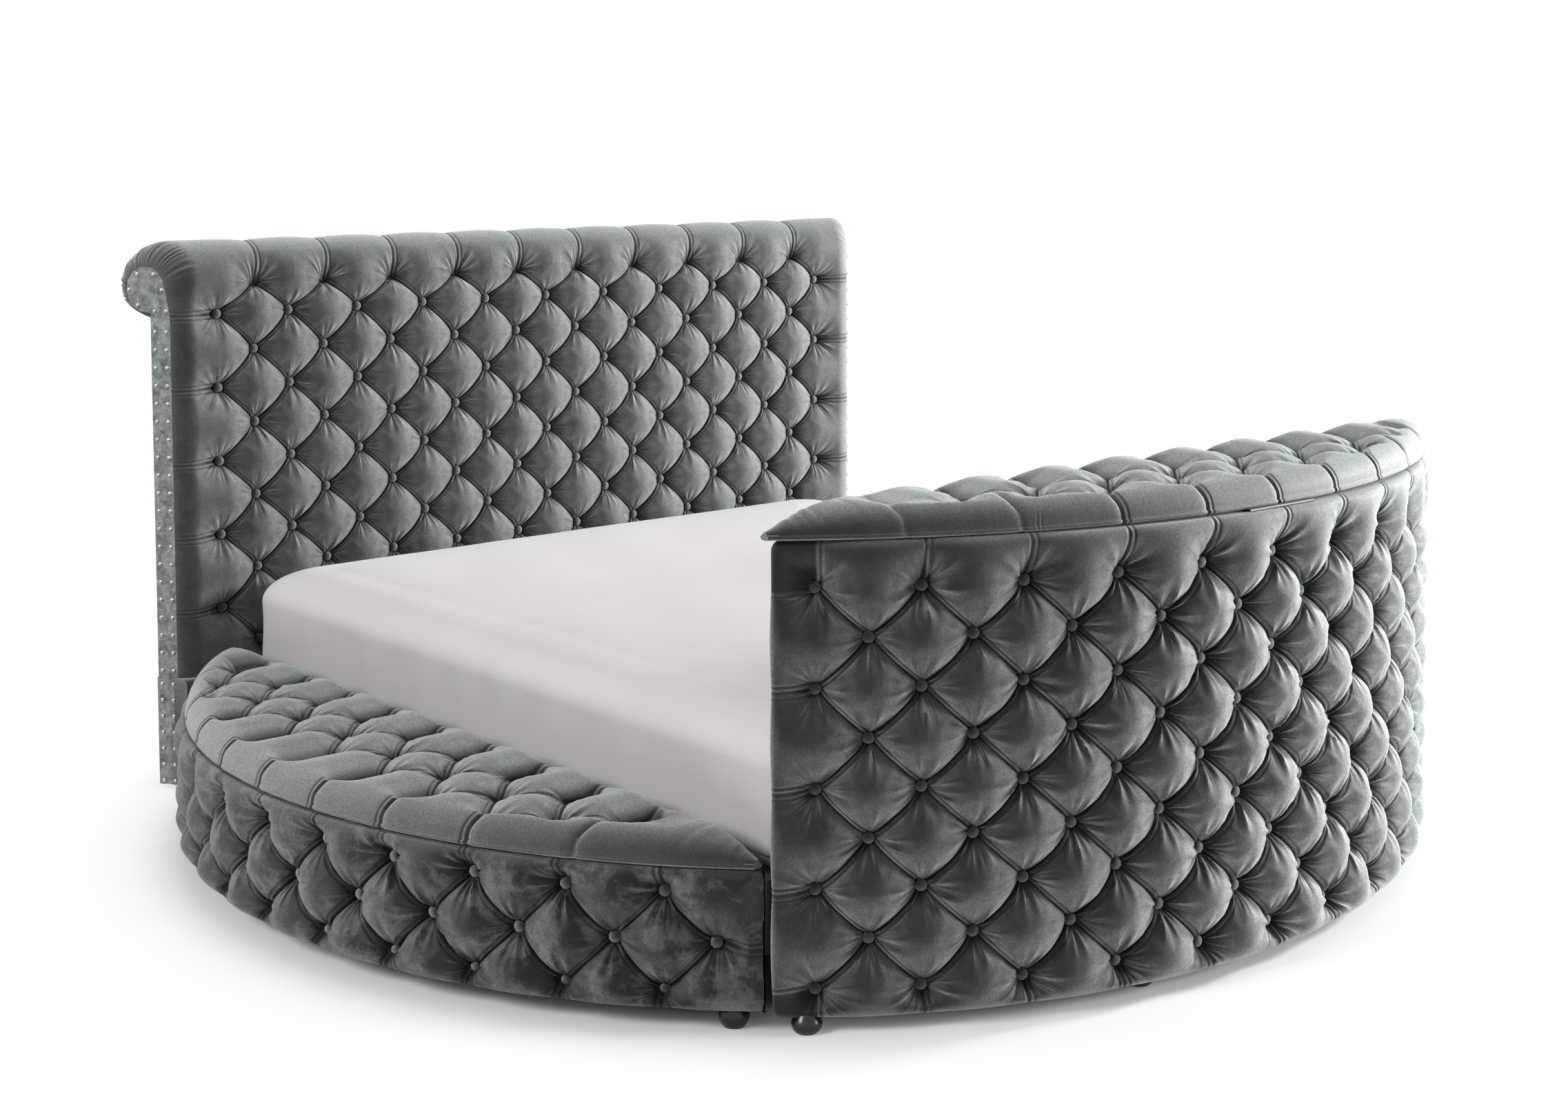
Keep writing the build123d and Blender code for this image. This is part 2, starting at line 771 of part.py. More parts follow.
head_lines = [((head_core_y, head_seam), (head_crest_y, head_seam), trim_step, "edge")]
for row in reversed(range(1, head_rows)):
    row_z = head_top_row - row * row_pitch
    head_lines.append(((head_core_y, row_z), (head_crest_y, row_z), trim_step, "even" if row % 2 else "odd"))
head_lines.append((core_point(row_one_angles[0]), roll_point(row_one_angles[1]), scroll_step, "odd"))
for inner_angle, outer_angle in scroll_angles:
    head_lines.append((core_point(inner_angle), roll_point(outer_angle), scroll_step, "pleat"))
last_core_z = scroll_z - scroll_core_z
head_lines.append(((back_y, last_core_z), (back_y, last_core_z - roll_underside), scroll_step, "edge"))


def head_section(core, crest, step, kind):
    """A level of the headboard's pad, in the plane through its two points and X."""
    reach = math.dist(core, crest)
    run_y = (crest[0] - core[0]) / reach
    run_z = (crest[1] - core[1]) / reach
    middle = step + (reach - step) * 0.65

    def end_points(side):
        rim_y = core[0] + step * run_y
        bulge_y = core[0] + middle * run_y
        return [
            (side * (flare_x(core[0]) - trim_run_x), 0),
            (side * (flare_x(rim_y) - trim_run_x), step),
            (side * flare_x(rim_y), step),
            (side * (flare_x(bulge_y) - head_border * 0.2), middle),
            (side * (flare_x(crest[0]) - head_border), reach),
        ]

    seat = {"even": head_tuft_depth, "odd": head_tuft_depth, "pleat": top_pleat, "edge": edge_pleat}[kind]
    deep_odd = kind != "even"
    points = end_points(-1)
    for place in range(-head_half_steps, head_half_steps + 1):
        is_seat = (place % 2 == 1) == deep_odd
        points.append((place * head_pitch / 2, reach - (seat if is_seat else 0.0)))
    points += reversed(end_points(1))
    plane = Plane(origin=(0, core[0], core[1]), x_dir=(1, 0, 0), z_dir=(0, -run_z, run_y))
    with BuildSketch(plane) as section:
        with BuildLine():
            Polyline(*points, close=True)
        make_face()
    return section.sketch


with BuildPart() as headboard_pad:
    loft([head_section(*line) for line in head_lines], ruled=True)
save(headboard_pad, "headboard_pad")

head_button_places = []
for row in range(head_rows):
    if row == 0:
        core, crest = head_lines[head_rows][0], head_lines[head_rows][1]
        reach = math.dist(core, crest)
        share = (reach - head_tuft_depth) / reach
        seat_y = core[0] + (crest[0] - core[0]) * share
        seat_z = core[1] + (crest[1] - core[1]) * share
        aim = (0, crest[0] - core[0], crest[1] - core[1])
    else:
        seat_y, seat_z, aim = head_seat_y, head_top_row - row * row_pitch, (0, -1, 0)
    for place in range(-head_half_steps, head_half_steps + 1):
        if place % 2 != row % 2:
            origin = (place * head_pitch / 2, seat_y, seat_z)
            head_button_places.append(Plane(origin=origin, x_dir=(1, 0, 0), z_dir=aim).location)
with BuildPart() as headboard_buttons:
    with Locations(*head_button_places):
        add(head_button)
save(headboard_buttons, "headboard_buttons")

core_outline = [line[0] for line in head_lines] + [(core_back_y, last_core_z), (core_back_y, head_seam)]
trim_outline = []
for core, crest, step, kind in head_lines:
    reach = math.dist(core, crest)
    trim_outline.append(
        (core[0] + (crest[0] - core[0]) * step / reach, core[1] + (crest[1] - core[1]) * step / reach)
    )
trim_outline.append((back_y, head_seam))


def flare_plane(side, inward):
    """The flared end's plane, moved in by a thickness; it faces outwards."""
    turn = math.radians(flare_angle)
    facing = (side * math.cos(turn), -math.sin(turn), 0)
    origin = (side * (head_half_width - inward / math.cos(turn)), trim_front_y, 0)
    return Plane(origin=origin, z_dir=facing)


def head_slice(outline):
    """A prism of the headboard's side outline, longer than the headboard at both ends."""
    reach = head_half_width + plan_radius / 4
    with BuildSketch(Plane.YZ.offset(-reach)) as profile:
        with BuildLine():
            Polyline(*outline, close=True)
        make_face()
    extrude(profile.sketch, amount=2 * reach)


with BuildPart() as headboard_core:
    head_slice(core_outline)
    for side in (-1, 1):
        split(bisect_by=flare_plane(side, trim_thickness), keep=Keep.BOTTOM)
save(headboard_core, "headboard_core")

for side, word in sides:
    with BuildPart() as trim:
        head_slice(trim_outline)
        split(bisect_by=flare_plane(side, 0), keep=Keep.BOTTOM)
        split(bisect_by=flare_plane(side, trim_thickness), keep=Keep.TOP)
    save(trim, f"headboard_trim_{word}")


def flared_plan(front_y, rear_y, grow, side_in):
    """Plan of a board between the flared ends."""
    front_x = flare_x(front_y) + grow - side_in
    rear_x = flare_x(rear_y) + grow - side_in
    return [(-front_x, front_y), (-rear_x, rear_y), (rear_x, rear_y), (front_x, front_y)]


with BuildPart() as headboard_back_cover:
    with BuildSketch(Plane.XY.offset(head_seam)):
        with BuildLine():
            Polyline(*flared_plan(core_back_y, back_y, 0, trim_run_x), close=True)
        make_face()
    extrude(amount=last_core_z - head_seam)
save(headboard_back_cover, "headboard_back_cover")

with BuildPart() as headboard_lower_panel:
    with BuildSketch(Plane.XY.offset(lower_bottom)):
        with BuildLine():
            rim = flare_x(trim_front_y) + lower_grow
            plan = [(-rim + lower_grow, lower_front_y), (-rim, trim_front_y)]
            plan += flared_plan(trim_front_y, back_y, lower_grow, trim_run_x)
            plan += [(rim, trim_front_y), (rim - lower_grow, lower_front_y)]
            Polyline(*plan, close=True)
        make_face()
    extrude(amount=head_seam - lower_bottom)
save(headboard_lower_panel, "headboard_lower_panel")

with BuildPart() as headboard_lower_trims:
    for side in (-1, 1):
        with BuildSketch(Plane.XY.offset(lower_bottom)):
            with BuildLine():
                front_x = flare_x(trim_front_y) + lower_grow
                rear_x = flare_x(back_y) + lower_grow
                Polyline(
                    (side * (front_x - trim_run_x), trim_front_y),
                    (side * front_x, trim_front_y),
                    (side * rear_x, back_y),
                    (side * (rear_x - trim_run_x), back_y),
                    close=True,
                )
            make_face()
        extrude(amount=head_seam - lower_bottom)
save(headboard_lower_trims, "headboard_lower_trims")

with BuildPart() as headboard_joining_plates:
    with BuildSketch(Plane.XZ.offset(-back_y)):
        with Locations(*[(x, head_seam) for x in (-joining_plate_x, 0, joining_plate_x)]):
            Rectangle(joining_plate_width, joining_plate_height)
    extrude(amount=-joining_plate_thickness)
save(headboard_joining_plates, "headboard_joining_plates")


# Nails: two rows down each strip and a ring round each scroll

def nail_places(side):
    """Domed nails on one flared end, placed along the strip (out, up)."""
    strip = (back_y - trim_front_y) / math.cos(math.radians(flare_angle))
    rows = (nail_edge, strip - nail_edge)
    places = []
    for out in rows:
        for pair in range(nail_pairs_upper):
            climb = (upper_nail_high - upper_nail_low) * pair / (nail_pairs_upper - 1)
            places.append((out, upper_nail_low + climb, 0))
        for pair in range(nail_pairs_lower):
            climb = (lower_nail_high - lower_nail_low) * pair / (nail_pairs_lower - 1)
            places.append((out, lower_nail_low + climb, lower_grow * math.cos(math.radians(flare_angle))))
        places.append((out, last_core_z - scroll_step / 2, 0))
    middle = (scroll_y - trim_front_y) / math.cos(math.radians(flare_angle))
    for turn in range(5):
        angle = math.radians(60.0 * turn - 60.0)
        places.append(
            (middle + scroll_nail_ring * math.cos(angle), scroll_z + scroll_nail_ring * math.sin(angle), 0)
        )
    turn = math.radians(flare_angle)
    facing = (side * math.cos(turn), -math.sin(turn), 0)
    found = []
    for out, height, lift in places:
        x = side * (head_half_width + out * math.sin(turn)) + facing[0] * lift
        y = trim_front_y + out * math.cos(turn) + facing[1] * lift
        found.append(Plane(origin=(x, y, height), x_dir=(0, 0, 1), z_dir=facing).location)
    return found


with BuildPart() as nail:
    with BuildSketch(Plane.XZ):
        with BuildLine():
            Polyline((0, nail_height), (0, 0), (nail_radius, 0))
            ThreePointArc((nail_radius, 0), dome_middle(nail_radius, nail_height), (0, nail_height))
        make_face()
    revolve(axis=Axis.Z)

with BuildPart() as trim_nails:
    with Locations(*nail_places(-1), *nail_places(1)):
        add(nail.part)
save(trim_nails, "trim_nails")


# Frame under the mattress

rail_x = bench_inner_x - rail_thickness
ledge_top = deck_height - slat_thickness
frame_length = lower_front_y - foot_face_y
frame_middle_y = (lower_front_y + foot_face_y) / 2

with BuildPart() as side_rails:
    for side in (-1, 1):
        with BuildSketch(Plane.XZ.offset(-foot_face_y)):
            with Locations((side * (rail_x + rail_thickness / 2), rail_top - rail_depth / 2)):
                Rectangle(rail_thickness, rail_depth)
            with Locations((side * (rail_x - ledge_width / 2), ledge_top - ledge_depth / 2)):
                Rectangle(ledge_width, ledge_depth)
        extrude(amount=-frame_length)
        with BuildSketch(Plane.YZ.offset(side * (rail_x - cut_over))):
            with Locations(*[(y, rail_bolt_height) for y in rail_bolt_ys]):
                Circle(bolt_hole_radius)
        extrude(amount=side * (rail_thickness + 2 * cut_over), mode=Mode.SUBTRACT)
save(side_rails, "side_rails")

with BuildPart() as centre_beam:
    with BuildSketch(Plane.XZ.offset(-foot_face_y)):
        with Locations((0, ledge_top - beam_depth / 2)):
            Rectangle(beam_width, beam_depth)
    extrude(amount=-frame_length)
save(centre_beam, "centre_beam")

with BuildPart() as centre_legs:
    with Locations(*[(0, y, 0) for y in (-leg_spacing, 0, leg_spacing)]):
        Cylinder(leg_foot_radius, leg_foot_height, align=(Align.CENTER, Align.CENTER, Align.MIN))
        Cylinder(leg_radius, ledge_top - beam_depth, align=(Align.CENTER, Align.CENTER, Align.MIN))
save(centre_legs, "centre_legs")

with BuildPart() as slats:
    with BuildSketch(Plane.XY.offset(ledge_top)):
        with Locations((0, frame_middle_y)):
            with GridLocations(0, (frame_length - 2 * slat_width) / (slat_count - 1), 1, slat_count):
                Rectangle(2 * (rail_x - slat_end_gap), slat_width)
    extrude(amount=slat_thickness)
save(slats, "slats")

with BuildPart() as corner_brackets:
    for side in (-1, 1):
        for end_y, way in ((foot_face_y, 1), (lower_front_y, -1)):
            with BuildSketch(Plane.XY.offset(corner_bracket_low)):
                with BuildLine():
                    near = rail_x
                    Polyline(
                        (side * near, end_y),
                        (side * (near - bracket_leg), end_y),
                        (side * (near - bracket_leg), end_y + way * bracket_thickness),
                        (side * (near - bracket_thickness), end_y + way * bracket_thickness),
                        (side * (near - bracket_thickness), end_y + way * bracket_leg),
                        (side * near, end_y + way * bracket_leg),
                        close=True,
                    )
                make_face()
            extrude(amount=corner_bracket_height)
save(corner_brackets, "corner_brackets")


# Feet: black buns under the boxes, flat glides under the headboard

def bun_foot(x, y, height):
    """A round bun foot, flat on the floor and under its board."""
    with BuildSketch(Plane.XZ) as profile:
        with BuildLine():
            Polyline((0, height), (0, 0), (bun_radius * 0.7, 0))
            ThreePointArc(
                (bun_radius * 0.7, 0), (bun_radius, height * 0.4), (bun_radius * 0.85, height * 0.72)
            )
            Polyline((bun_radius * 0.85, height * 0.72), (bun_neck_radius, height), (0, height))
        make_face()
    with BuildPart(mode=Mode.PRIVATE) as bun:
        revolve(profile.sketch, axis=Axis.Z)
    return Pos(x, y, 0) * bun.part


bench_foot_insets = [bench_corner_foot_inset, bench_middle_foot_inset]
bench_foot_insets += reversed(bench_foot_insets)
glide_places_x = (glide_inner_x, head_half_width - glide_outer_inset)
buns = []
for side in (-1, 1):
    for inset, share in zip(bench_foot_insets, bench_foot_shares):
        angle = corner_angle + bench_span_angle * share
        buns.append(bun_foot(*polar(plan_radius - inset, side * angle), bench_bottom))
    for inset, share in zip((foot_corner_foot_inset, foot_middle_foot_inset), foot_foot_shares):
        buns.append(bun_foot(*polar(plan_radius - inset, side * corner_angle * share), foot_bottom))
with BuildPart() as feet:
    add(buns)
    with Locations(
        *[(side * x, (trim_front_y + core_back_y) / 2, 0) for side in (-1, 1) for x in glide_places_x]
    ):
        Cylinder(glide_radius, lower_bottom, align=(Align.CENTER, Align.CENTER, Align.MIN))
save(feet, "feet")


# Mattress and fitted sheet

mattress_level_shares = (
    (0.0, 0.1154), (0.05, 0.0385), (0.17, 0.0), (0.45, 0.0154), (0.68, 0.0), (0.83, 0.0308),
    (0.92, 0.1), (0.97, 0.2231), (1.0, 1.0),
)


def mattress_body(grow):
    """Rounded sections from the underside to the crown, larger by a thickness."""
    levels = []
    for height_share, inset_share in mattress_level_shares:
        inset = inset_share * mattress_crown_inset
        level = deck_height + height_share * mattress_height + (grow if height_share > 0.5 else 0)
        length = mattress_length - 2 * inset + 2 * grow
        with BuildSketch(Plane.XY.offset(level)) as section:
            with Locations((0, mattress_y)):
                RectangleRounded(
                    mattress_width - 2 * inset + 2 * grow, length, mattress_corner + grow - inset * 0.3
                )
        levels.append(section.sketch)
    loft(levels, ruled=True)


with BuildPart() as mattress:
    mattress_body(0)
save(mattress, "mattress")

with BuildPart() as fitted_sheet:
    mattress_body(sheet_thickness)
    add(mattress.part, mode=Mode.SUBTRACT)
    split(bisect_by=Plane.XY.offset(deck_height + sheet_hem_height), keep=Keep.TOP)
save(fitted_sheet, "fitted_sheet")


# Screen lift in the foot section

lift_floor = foot_bottom + foot_floor_board
plate_top = lift_floor + base_plate_thickness
column_top = plate_top + column_length


def tube(width, depth, low, high):
    """A square tube standing on the lift's axis."""
    with BuildSketch(Plane.XY.offset(low)) as ring:
        with Locations((0, lift_y)):
            Rectangle(width, depth)
            Rectangle(width - 2 * tube_wall, depth - 2 * tube_wall, mode=Mode.SUBTRACT)
    extrude(ring.sketch, amount=high - low)


with BuildPart() as lift_column:
    with BuildSketch(Plane.XY.offset(lift_floor)):
        with Locations((0, lift_y)):
            Rectangle(base_plate_length, base_plate_width)
            with GridLocations(
                base_plate_length - 2 * base_bolt_inset, base_plate_width - 2 * base_bolt_inset, 2, 2
            ):
                Circle(bolt_hole_radius, mode=Mode.SUBTRACT)
    extrude(amount=base_plate_thickness)
    tube(column_width, column_depth, plate_top, column_top)
save(lift_column, "lift_column")

stage_shrink = 2 * (tube_wall + tube_run)
middle_width, middle_depth = column_width - stage_shrink, column_depth - stage_shrink
inner_width, inner_depth = middle_width - stage_shrink, middle_depth - stage_shrink
middle_low = plate_top + stage_floor_gap
nut_top = middle_low + nut_thickness
inner_low = nut_top + stage_floor_gap
middle_top = column_top + stage_rise
inner_top = middle_top + stage_rise

with BuildPart() as lift_middle_tube:
    tube(middle_width, middle_depth, middle_low, middle_top)
save(lift_middle_tube, "lift_middle_tube")

with BuildPart() as lift_nut:
    with BuildSketch(Plane.XY.offset(middle_low)):
        with Locations((0, lift_y)):
            Rectangle(middle_width - 2 * tube_wall, middle_depth - 2 * tube_wall)
            Circle(spindle_radius + spindle_run, mode=Mode.SUBTRACT)
    extrude(amount=nut_thickness)
save(lift_nut, "lift_nut")

with BuildPart() as lift_spindle:
    with Locations((0, lift_y, plate_top)):
        Cylinder(spindle_radius, spindle_length, align=(Align.CENTER, Align.CENTER, Align.MIN))
save(lift_spindle, "lift_spindle")

with BuildPart() as lift_inner_tube:
    tube(inner_width, inner_depth, inner_low, inner_top)
save(lift_inner_tube, "lift_inner_tube")

bracket_back_y = lift_y + column_depth / 2 + bracket_run
cap_rear_y = lift_y - inner_depth / 2
cap_depth = bracket_back_y - cap_rear_y

with BuildPart() as screen_bracket:
    with BuildSketch(Plane.XZ.offset(-bracket_back_y)):
        with Locations((0, bracket_top - bracket_size / 2)):
            RectangleRounded(bracket_size, bracket_size, bracket_size / 20)
            with GridLocations(screen_pattern, screen_pattern, 2, 2):
                Circle(screen_hole_radius, mode=Mode.SUBTRACT)
            with GridLocations(screen_pattern_small, screen_pattern_small, 2, 2):
                Circle(screen_hole_radius_small, mode=Mode.SUBTRACT)
    extrude(amount=-bracket_plate)
    with BuildSketch(Plane.XY.offset(inner_top)):
        with Locations((0, cap_rear_y + cap_depth / 2)):
            Rectangle(cap_width, cap_depth)
    extrude(amount=cap_thickness)
    for x in (-gusset_x, gusset_x):
        with BuildSketch(Plane.YZ.offset(x - bracket_plate / 2)):
            with BuildLine():
                foot_of_rib = inner_top + cap_thickness
                Polyline(
                    (cap_rear_y, foot_of_rib),
                    (bracket_back_y, foot_of_rib),
                    (bracket_back_y, foot_of_rib + gusset_height),
                    close=True,
                )
            make_face()
        extrude(amount=bracket_plate)
save(screen_bracket, "screen_bracket")

motor_x = column_width / 2 + gearbox_width / 2
with BuildPart() as lift_motor:
    with Locations((motor_x, lift_y, plate_top)):
        Box(gearbox_width, column_depth, gearbox_height, align=(Align.CENTER, Align.CENTER, Align.MIN))
    with Locations((motor_x, lift_y, plate_top + gearbox_height)):
        Cylinder(motor_radius, motor_length, align=(Align.CENTER, Align.CENTER, Align.MIN))
    with Locations((motor_x, lift_y, plate_top + gearbox_height + motor_length)):
        Cylinder(motor_nose_radius, motor_nose, align=(Align.CENTER, Align.CENTER, Align.MIN))
save(lift_motor, "lift_motor")

with BuildPart() as lift_control_box:
    with Locations((control_x, lift_y, lift_floor)):
        Box(control_width, control_depth, control_height, align=(Align.CENTER, Align.CENTER, Align.MIN))
    fillet(lift_control_box.edges().filter_by(Axis.Z), control_edge)
    chamfer(lift_control_box.faces().sort_by(Axis.Z)[-1].edges(), control_edge / 3)
    with BuildSketch(Plane.YZ.offset(control_x - control_width / 2)):
        with Locations((lift_y, lift_floor + control_height / 2)):
            Rectangle(inlet_width, inlet_height)
    extrude(amount=inlet_depth, mode=Mode.SUBTRACT)
save(lift_control_box, "lift_control_box")


# Bolts: rails to benches, and the lift's plate to its floor

def bolt(place, grip):
    """A hex bolt with its nut; the head sits at the place and the shank runs down."""
    with BuildSketch(place) as head:
        RegularPolygon(bolt_head_radius, 6)
    extrude(head.sketch, amount=bolt_head)
    with BuildSketch(place) as shank:
        Circle(bolt_radius)
    extrude(shank.sketch, amount=-grip - bolt_head)
    with BuildSketch(place.offset(-grip)) as nut:
        RegularPolygon(bolt_head_radius, 6)
    extrude(nut.sketch, amount=-bolt_head)


with BuildPart() as connector_bolts:
    for side in (-1, 1):
        for y in rail_bolt_ys:
            bolt(
                Plane(origin=(side * bench_board_x, y, rail_bolt_height), z_dir=(side, 0, 0)),
                bench_board_thickness + rail_thickness,
            )
    half_x = base_plate_length / 2 - base_bolt_inset
    half_y = base_plate_width / 2 - base_bolt_inset
    for x in (-half_x, half_x):
        for y in (lift_y - half_y, lift_y + half_y):
            bolt(Plane(origin=(x, y, plate_top)), base_plate_thickness + foot_floor_board)
save(connector_bolts, "connector_bolts")
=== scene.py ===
"""Round-plan tufted bed: velvet, buttons, nails, lids, bedding and a studio for them."""

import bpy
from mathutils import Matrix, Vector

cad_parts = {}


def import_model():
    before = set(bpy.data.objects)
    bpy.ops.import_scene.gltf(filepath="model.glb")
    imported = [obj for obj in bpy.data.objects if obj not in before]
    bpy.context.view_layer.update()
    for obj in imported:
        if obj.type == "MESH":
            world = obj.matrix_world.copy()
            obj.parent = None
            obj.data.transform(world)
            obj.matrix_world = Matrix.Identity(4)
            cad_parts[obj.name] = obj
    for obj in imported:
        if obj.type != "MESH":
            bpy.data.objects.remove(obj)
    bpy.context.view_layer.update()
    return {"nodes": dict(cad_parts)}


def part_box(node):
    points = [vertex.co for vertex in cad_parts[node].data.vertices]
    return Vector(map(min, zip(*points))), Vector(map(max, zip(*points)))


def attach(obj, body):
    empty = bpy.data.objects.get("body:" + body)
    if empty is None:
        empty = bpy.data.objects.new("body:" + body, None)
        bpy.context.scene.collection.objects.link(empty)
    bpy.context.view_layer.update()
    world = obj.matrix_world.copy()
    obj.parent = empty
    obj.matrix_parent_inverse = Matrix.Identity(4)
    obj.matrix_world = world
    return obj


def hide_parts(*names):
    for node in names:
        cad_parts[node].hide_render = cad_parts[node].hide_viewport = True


bl_info = {
    "name": "Round Tufted Bed",
    "version": (1, 0, 0),
    "blender": (4, 5, 0),
    "location": "View3D > Sidebar > Bed",
    "description": "Dresses the round-plan storage bed in tufted velvet",
    "category": "Object",
}

import math

import bpy
import numpy as np
from mathutils import Vector
from mathutils.geometry import tessellate_polygon

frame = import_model()

# Sizes of the frame that the covers follow, in metres
FOOT_LOW, FOOT_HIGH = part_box("foot_pad")
BENCH_LOW, BENCH_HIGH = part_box("bench_pad_right")
HEAD_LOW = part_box("headboard_pad")[0]
BENCH_LID_LOW, BENCH_LID_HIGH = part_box("bench_lid_board_right")
FOOT_LID_LOW, FOOT_LID_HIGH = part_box("foot_lid_board")
MATTRESS_LOW, MATTRESS_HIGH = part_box("mattress")
PANEL_LOW, PANEL_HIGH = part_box("headboard_lower_panel")

SIDES = ((-1, "left"), (1, "right"))
SEAT_RADIUS = 1.405             # where the buttons of the curved faces sit
BACK_RADIUS = 1.396             # the pads' flat back, on the boards
RIM_RADIUS = 1.4315             # just outside the floor boards
ROW = 0.092                     # height between rows of buttons
CELLS = 24                      # mesh cells in a half step and in a row
FLARE_ANGLE = math.radians(35.0)        # of the headboard's end faces, outwards towards the back
FLARE = math.tan(FLARE_ANGLE)
# Curved faces: columns, rows, parity, first angle, angle of a column, height of the top row
FOOT_FACE = ((-10, 10), 9, 0, 0.0, math.radians(3.925), 0.811)
BENCH_FACE = ((0, 23), 3, 1, math.radians(46.5), math.radians(3.85), 0.251)


# Settings

class BedTuftSettings(bpy.types.PropertyGroup):
    """Depths and folds of the tufted covers"""

    face_depth: bpy.props.FloatProperty(
        name="Face depth", description="From the crest of the curved faces to their buttons",
        default=0.060, unit="LENGTH")
    head_depth: bpy.props.FloatProperty(
        name="Headboard depth", description="From the crest of the headboard to its buttons",
        default=0.0475, unit="LENGTH")
    lid_depth: bpy.props.FloatProperty(
        name="Lid depth", description="From the crest of a lid to the bottom of its pulls",
        default=0.044, unit="LENGTH")
    crease_share: bpy.props.FloatProperty(
        name="Crease share", description="Share of the depth that the fold lines reach",
        default=0.11, min=0.0, max=0.5, subtype="FACTOR")
    bulge_share: bpy.props.FloatProperty(
        name="Bulge share", description="Share of the depth by which a tuft swells between its folds",
        default=0.45, min=0.0, max=0.5, subtype="FACTOR")
    hole_reach: bpy.props.FloatProperty(
        name="Hole reach", description="How fast the cloth climbs away from a button",
        default=0.022, unit="LENGTH")
    fan_height: bpy.props.FloatProperty(
        name="Fan height", description="Height of the small folds that fan out from a button",
        default=0.0120, unit="LENGTH")
    fan_reach: bpy.props.FloatProperty(
        name="Fan reach", description="Where those folds are highest, from their button",
        default=0.029, unit="LENGTH")
    button_radius: bpy.props.FloatProperty(
        name="Button radius", description="Radius of a covered button", default=0.0115, unit="LENGTH")
    button_height: bpy.props.FloatProperty(
        name="Button height", description="Half thickness of a covered button", default=0.0065,
        unit="LENGTH")
    nail_radius: bpy.props.FloatProperty(
        name="Nail radius", description="Radius of a domed nail", default=0.0060, unit="LENGTH")
    nail_height: bpy.props.FloatProperty(
        name="Nail height", description="Height of a domed nail", default=0.0042, unit="LENGTH")


class BedColourSettings(bpy.types.PropertyGroup):
    """Colours of the bed's finishes, as sRGB hex"""

    velvet: bpy.props.StringProperty(
        name="Velvet", description="Velvet looked at straight on", default="191c1b")
    # velvet_light: the colour of a painted sheen where the velvet is seen edge on, and the nap's own
    # paler tone where it is brushed up
    velvet_light: bpy.props.StringProperty(
        name="Velvet light", description="Velvet seen edge on or brushed up", default="a9b0ad")
    # velvet_dark: a darker copy of the velvet, painted shade for the bench faces that the lamps light
    # less
    velvet_dark: bpy.props.StringProperty(
        name="Velvet dark", description="Velvet crushed flat on the bench faces", default="101312")
    sheet: bpy.props.StringProperty(
        name="Sheet", description="Fitted cotton sheet", default="c2c0be")
    floor: bpy.props.StringProperty(
        name="Floor", description="Studio floor", default="f7f7f7")


class BedStageSettings(bpy.types.PropertyGroup):
    """Camera and lamps"""

    lens: bpy.props.FloatProperty(name="Lens", description="Focal length in millimetres", default=52.267)
    key_power: bpy.props.FloatProperty(
        name="Key power", description="Power of the main lamp", default=540.0, unit="POWER")
    front_power: bpy.props.FloatProperty(
        name="Front power", description="Power of the lamp in front of the foot section", default=300.0,
        unit="POWER")
    fill_power: bpy.props.FloatProperty(
        name="Fill power", description="Power of the lamp that fills the shadows", default=175.0,
        unit="POWER")
    top_power: bpy.props.FloatProperty(
        name="Top power", description="Power of the lamp above the bed", default=92.0, unit="POWER")
    world_strength: bpy.props.FloatProperty(
        name="Room light", description="Strength of the even light of the room", default=0.12)


# Materials

PLAIN = 0.8                     # height of the cloth beside a fold, where the top of the lap is 1
ACROSS_FOLD = (                 # groove, lap of about 4 mm, second groove: place in a step, height
    (0.478, PLAIN), (0.500, 0.0), (0.516, 0.40), (0.533, 0.92), (0.550, 0.45), (0.560, 0.25),
    (0.586, PLAIN))
RAY_SPREAD, RAY_HEIGHT = 3.4, 3.4           # how many rays a button has, and how high they are
RAY_STEPS = (7.31, 11.17, 0.0)              # sets the rays of one button apart from the next one's
# Colour of the painted shade deep in a fold, along a fold line and under a button
PAINTED_SHADE_COLOUR = "030404"                        # velvet deep in a fold or under a button


def linear(code):
    """An sRGB hex colour as linear RGBA."""
    parts = [int(code[i:i + 2], 16) / 255 for i in (0, 2, 4)]
    return tuple(c / 12.92 if c <= 0.04045 else ((c + 0.055) / 1.055) ** 2.4 for c in parts) + (1.0,)


def add_node(tree, kind, given=None):
    """Add a node with its properties and sockets set; a node or a socket that is given is linked."""
    node = tree.nodes.new(kind)
    for key, value in (given or {}).items():
        if isinstance(value, bpy.types.Node):
            value = value.outputs[0]
        if isinstance(value, bpy.types.NodeSocket):
            tree.links.new(value, node.inputs[key])
        elif isinstance(key, str) and hasattr(node, key):
            setattr(node, key, value)
        else:
            node.inputs[key].default_value = value
    return node


def maths(tree, operation, *values, kind="ShaderNodeMath"):
    """A node that works on numbers, vectors or other nodes."""
    return add_node(tree, kind, {"operation": operation, **dict(enumerate(values))})


def map_range(tree, source, *limits):
    """A node that stretches a value from one range to another."""
    return add_node(tree, "ShaderNodeMapRange", {0: source, **dict(enumerate(limits, 1))})


def noise(tree, scale, detail, **given):
    """Noise over the object, with its scale per metre, or over the vector that is given."""
    if "Vector" not in given:
        given["Vector"] = add_node(tree, "ShaderNodeTexCoord").outputs["Object"]
    return add_node(tree, "ShaderNodeTexNoise", {"Scale": scale, "Detail": detail, **given})


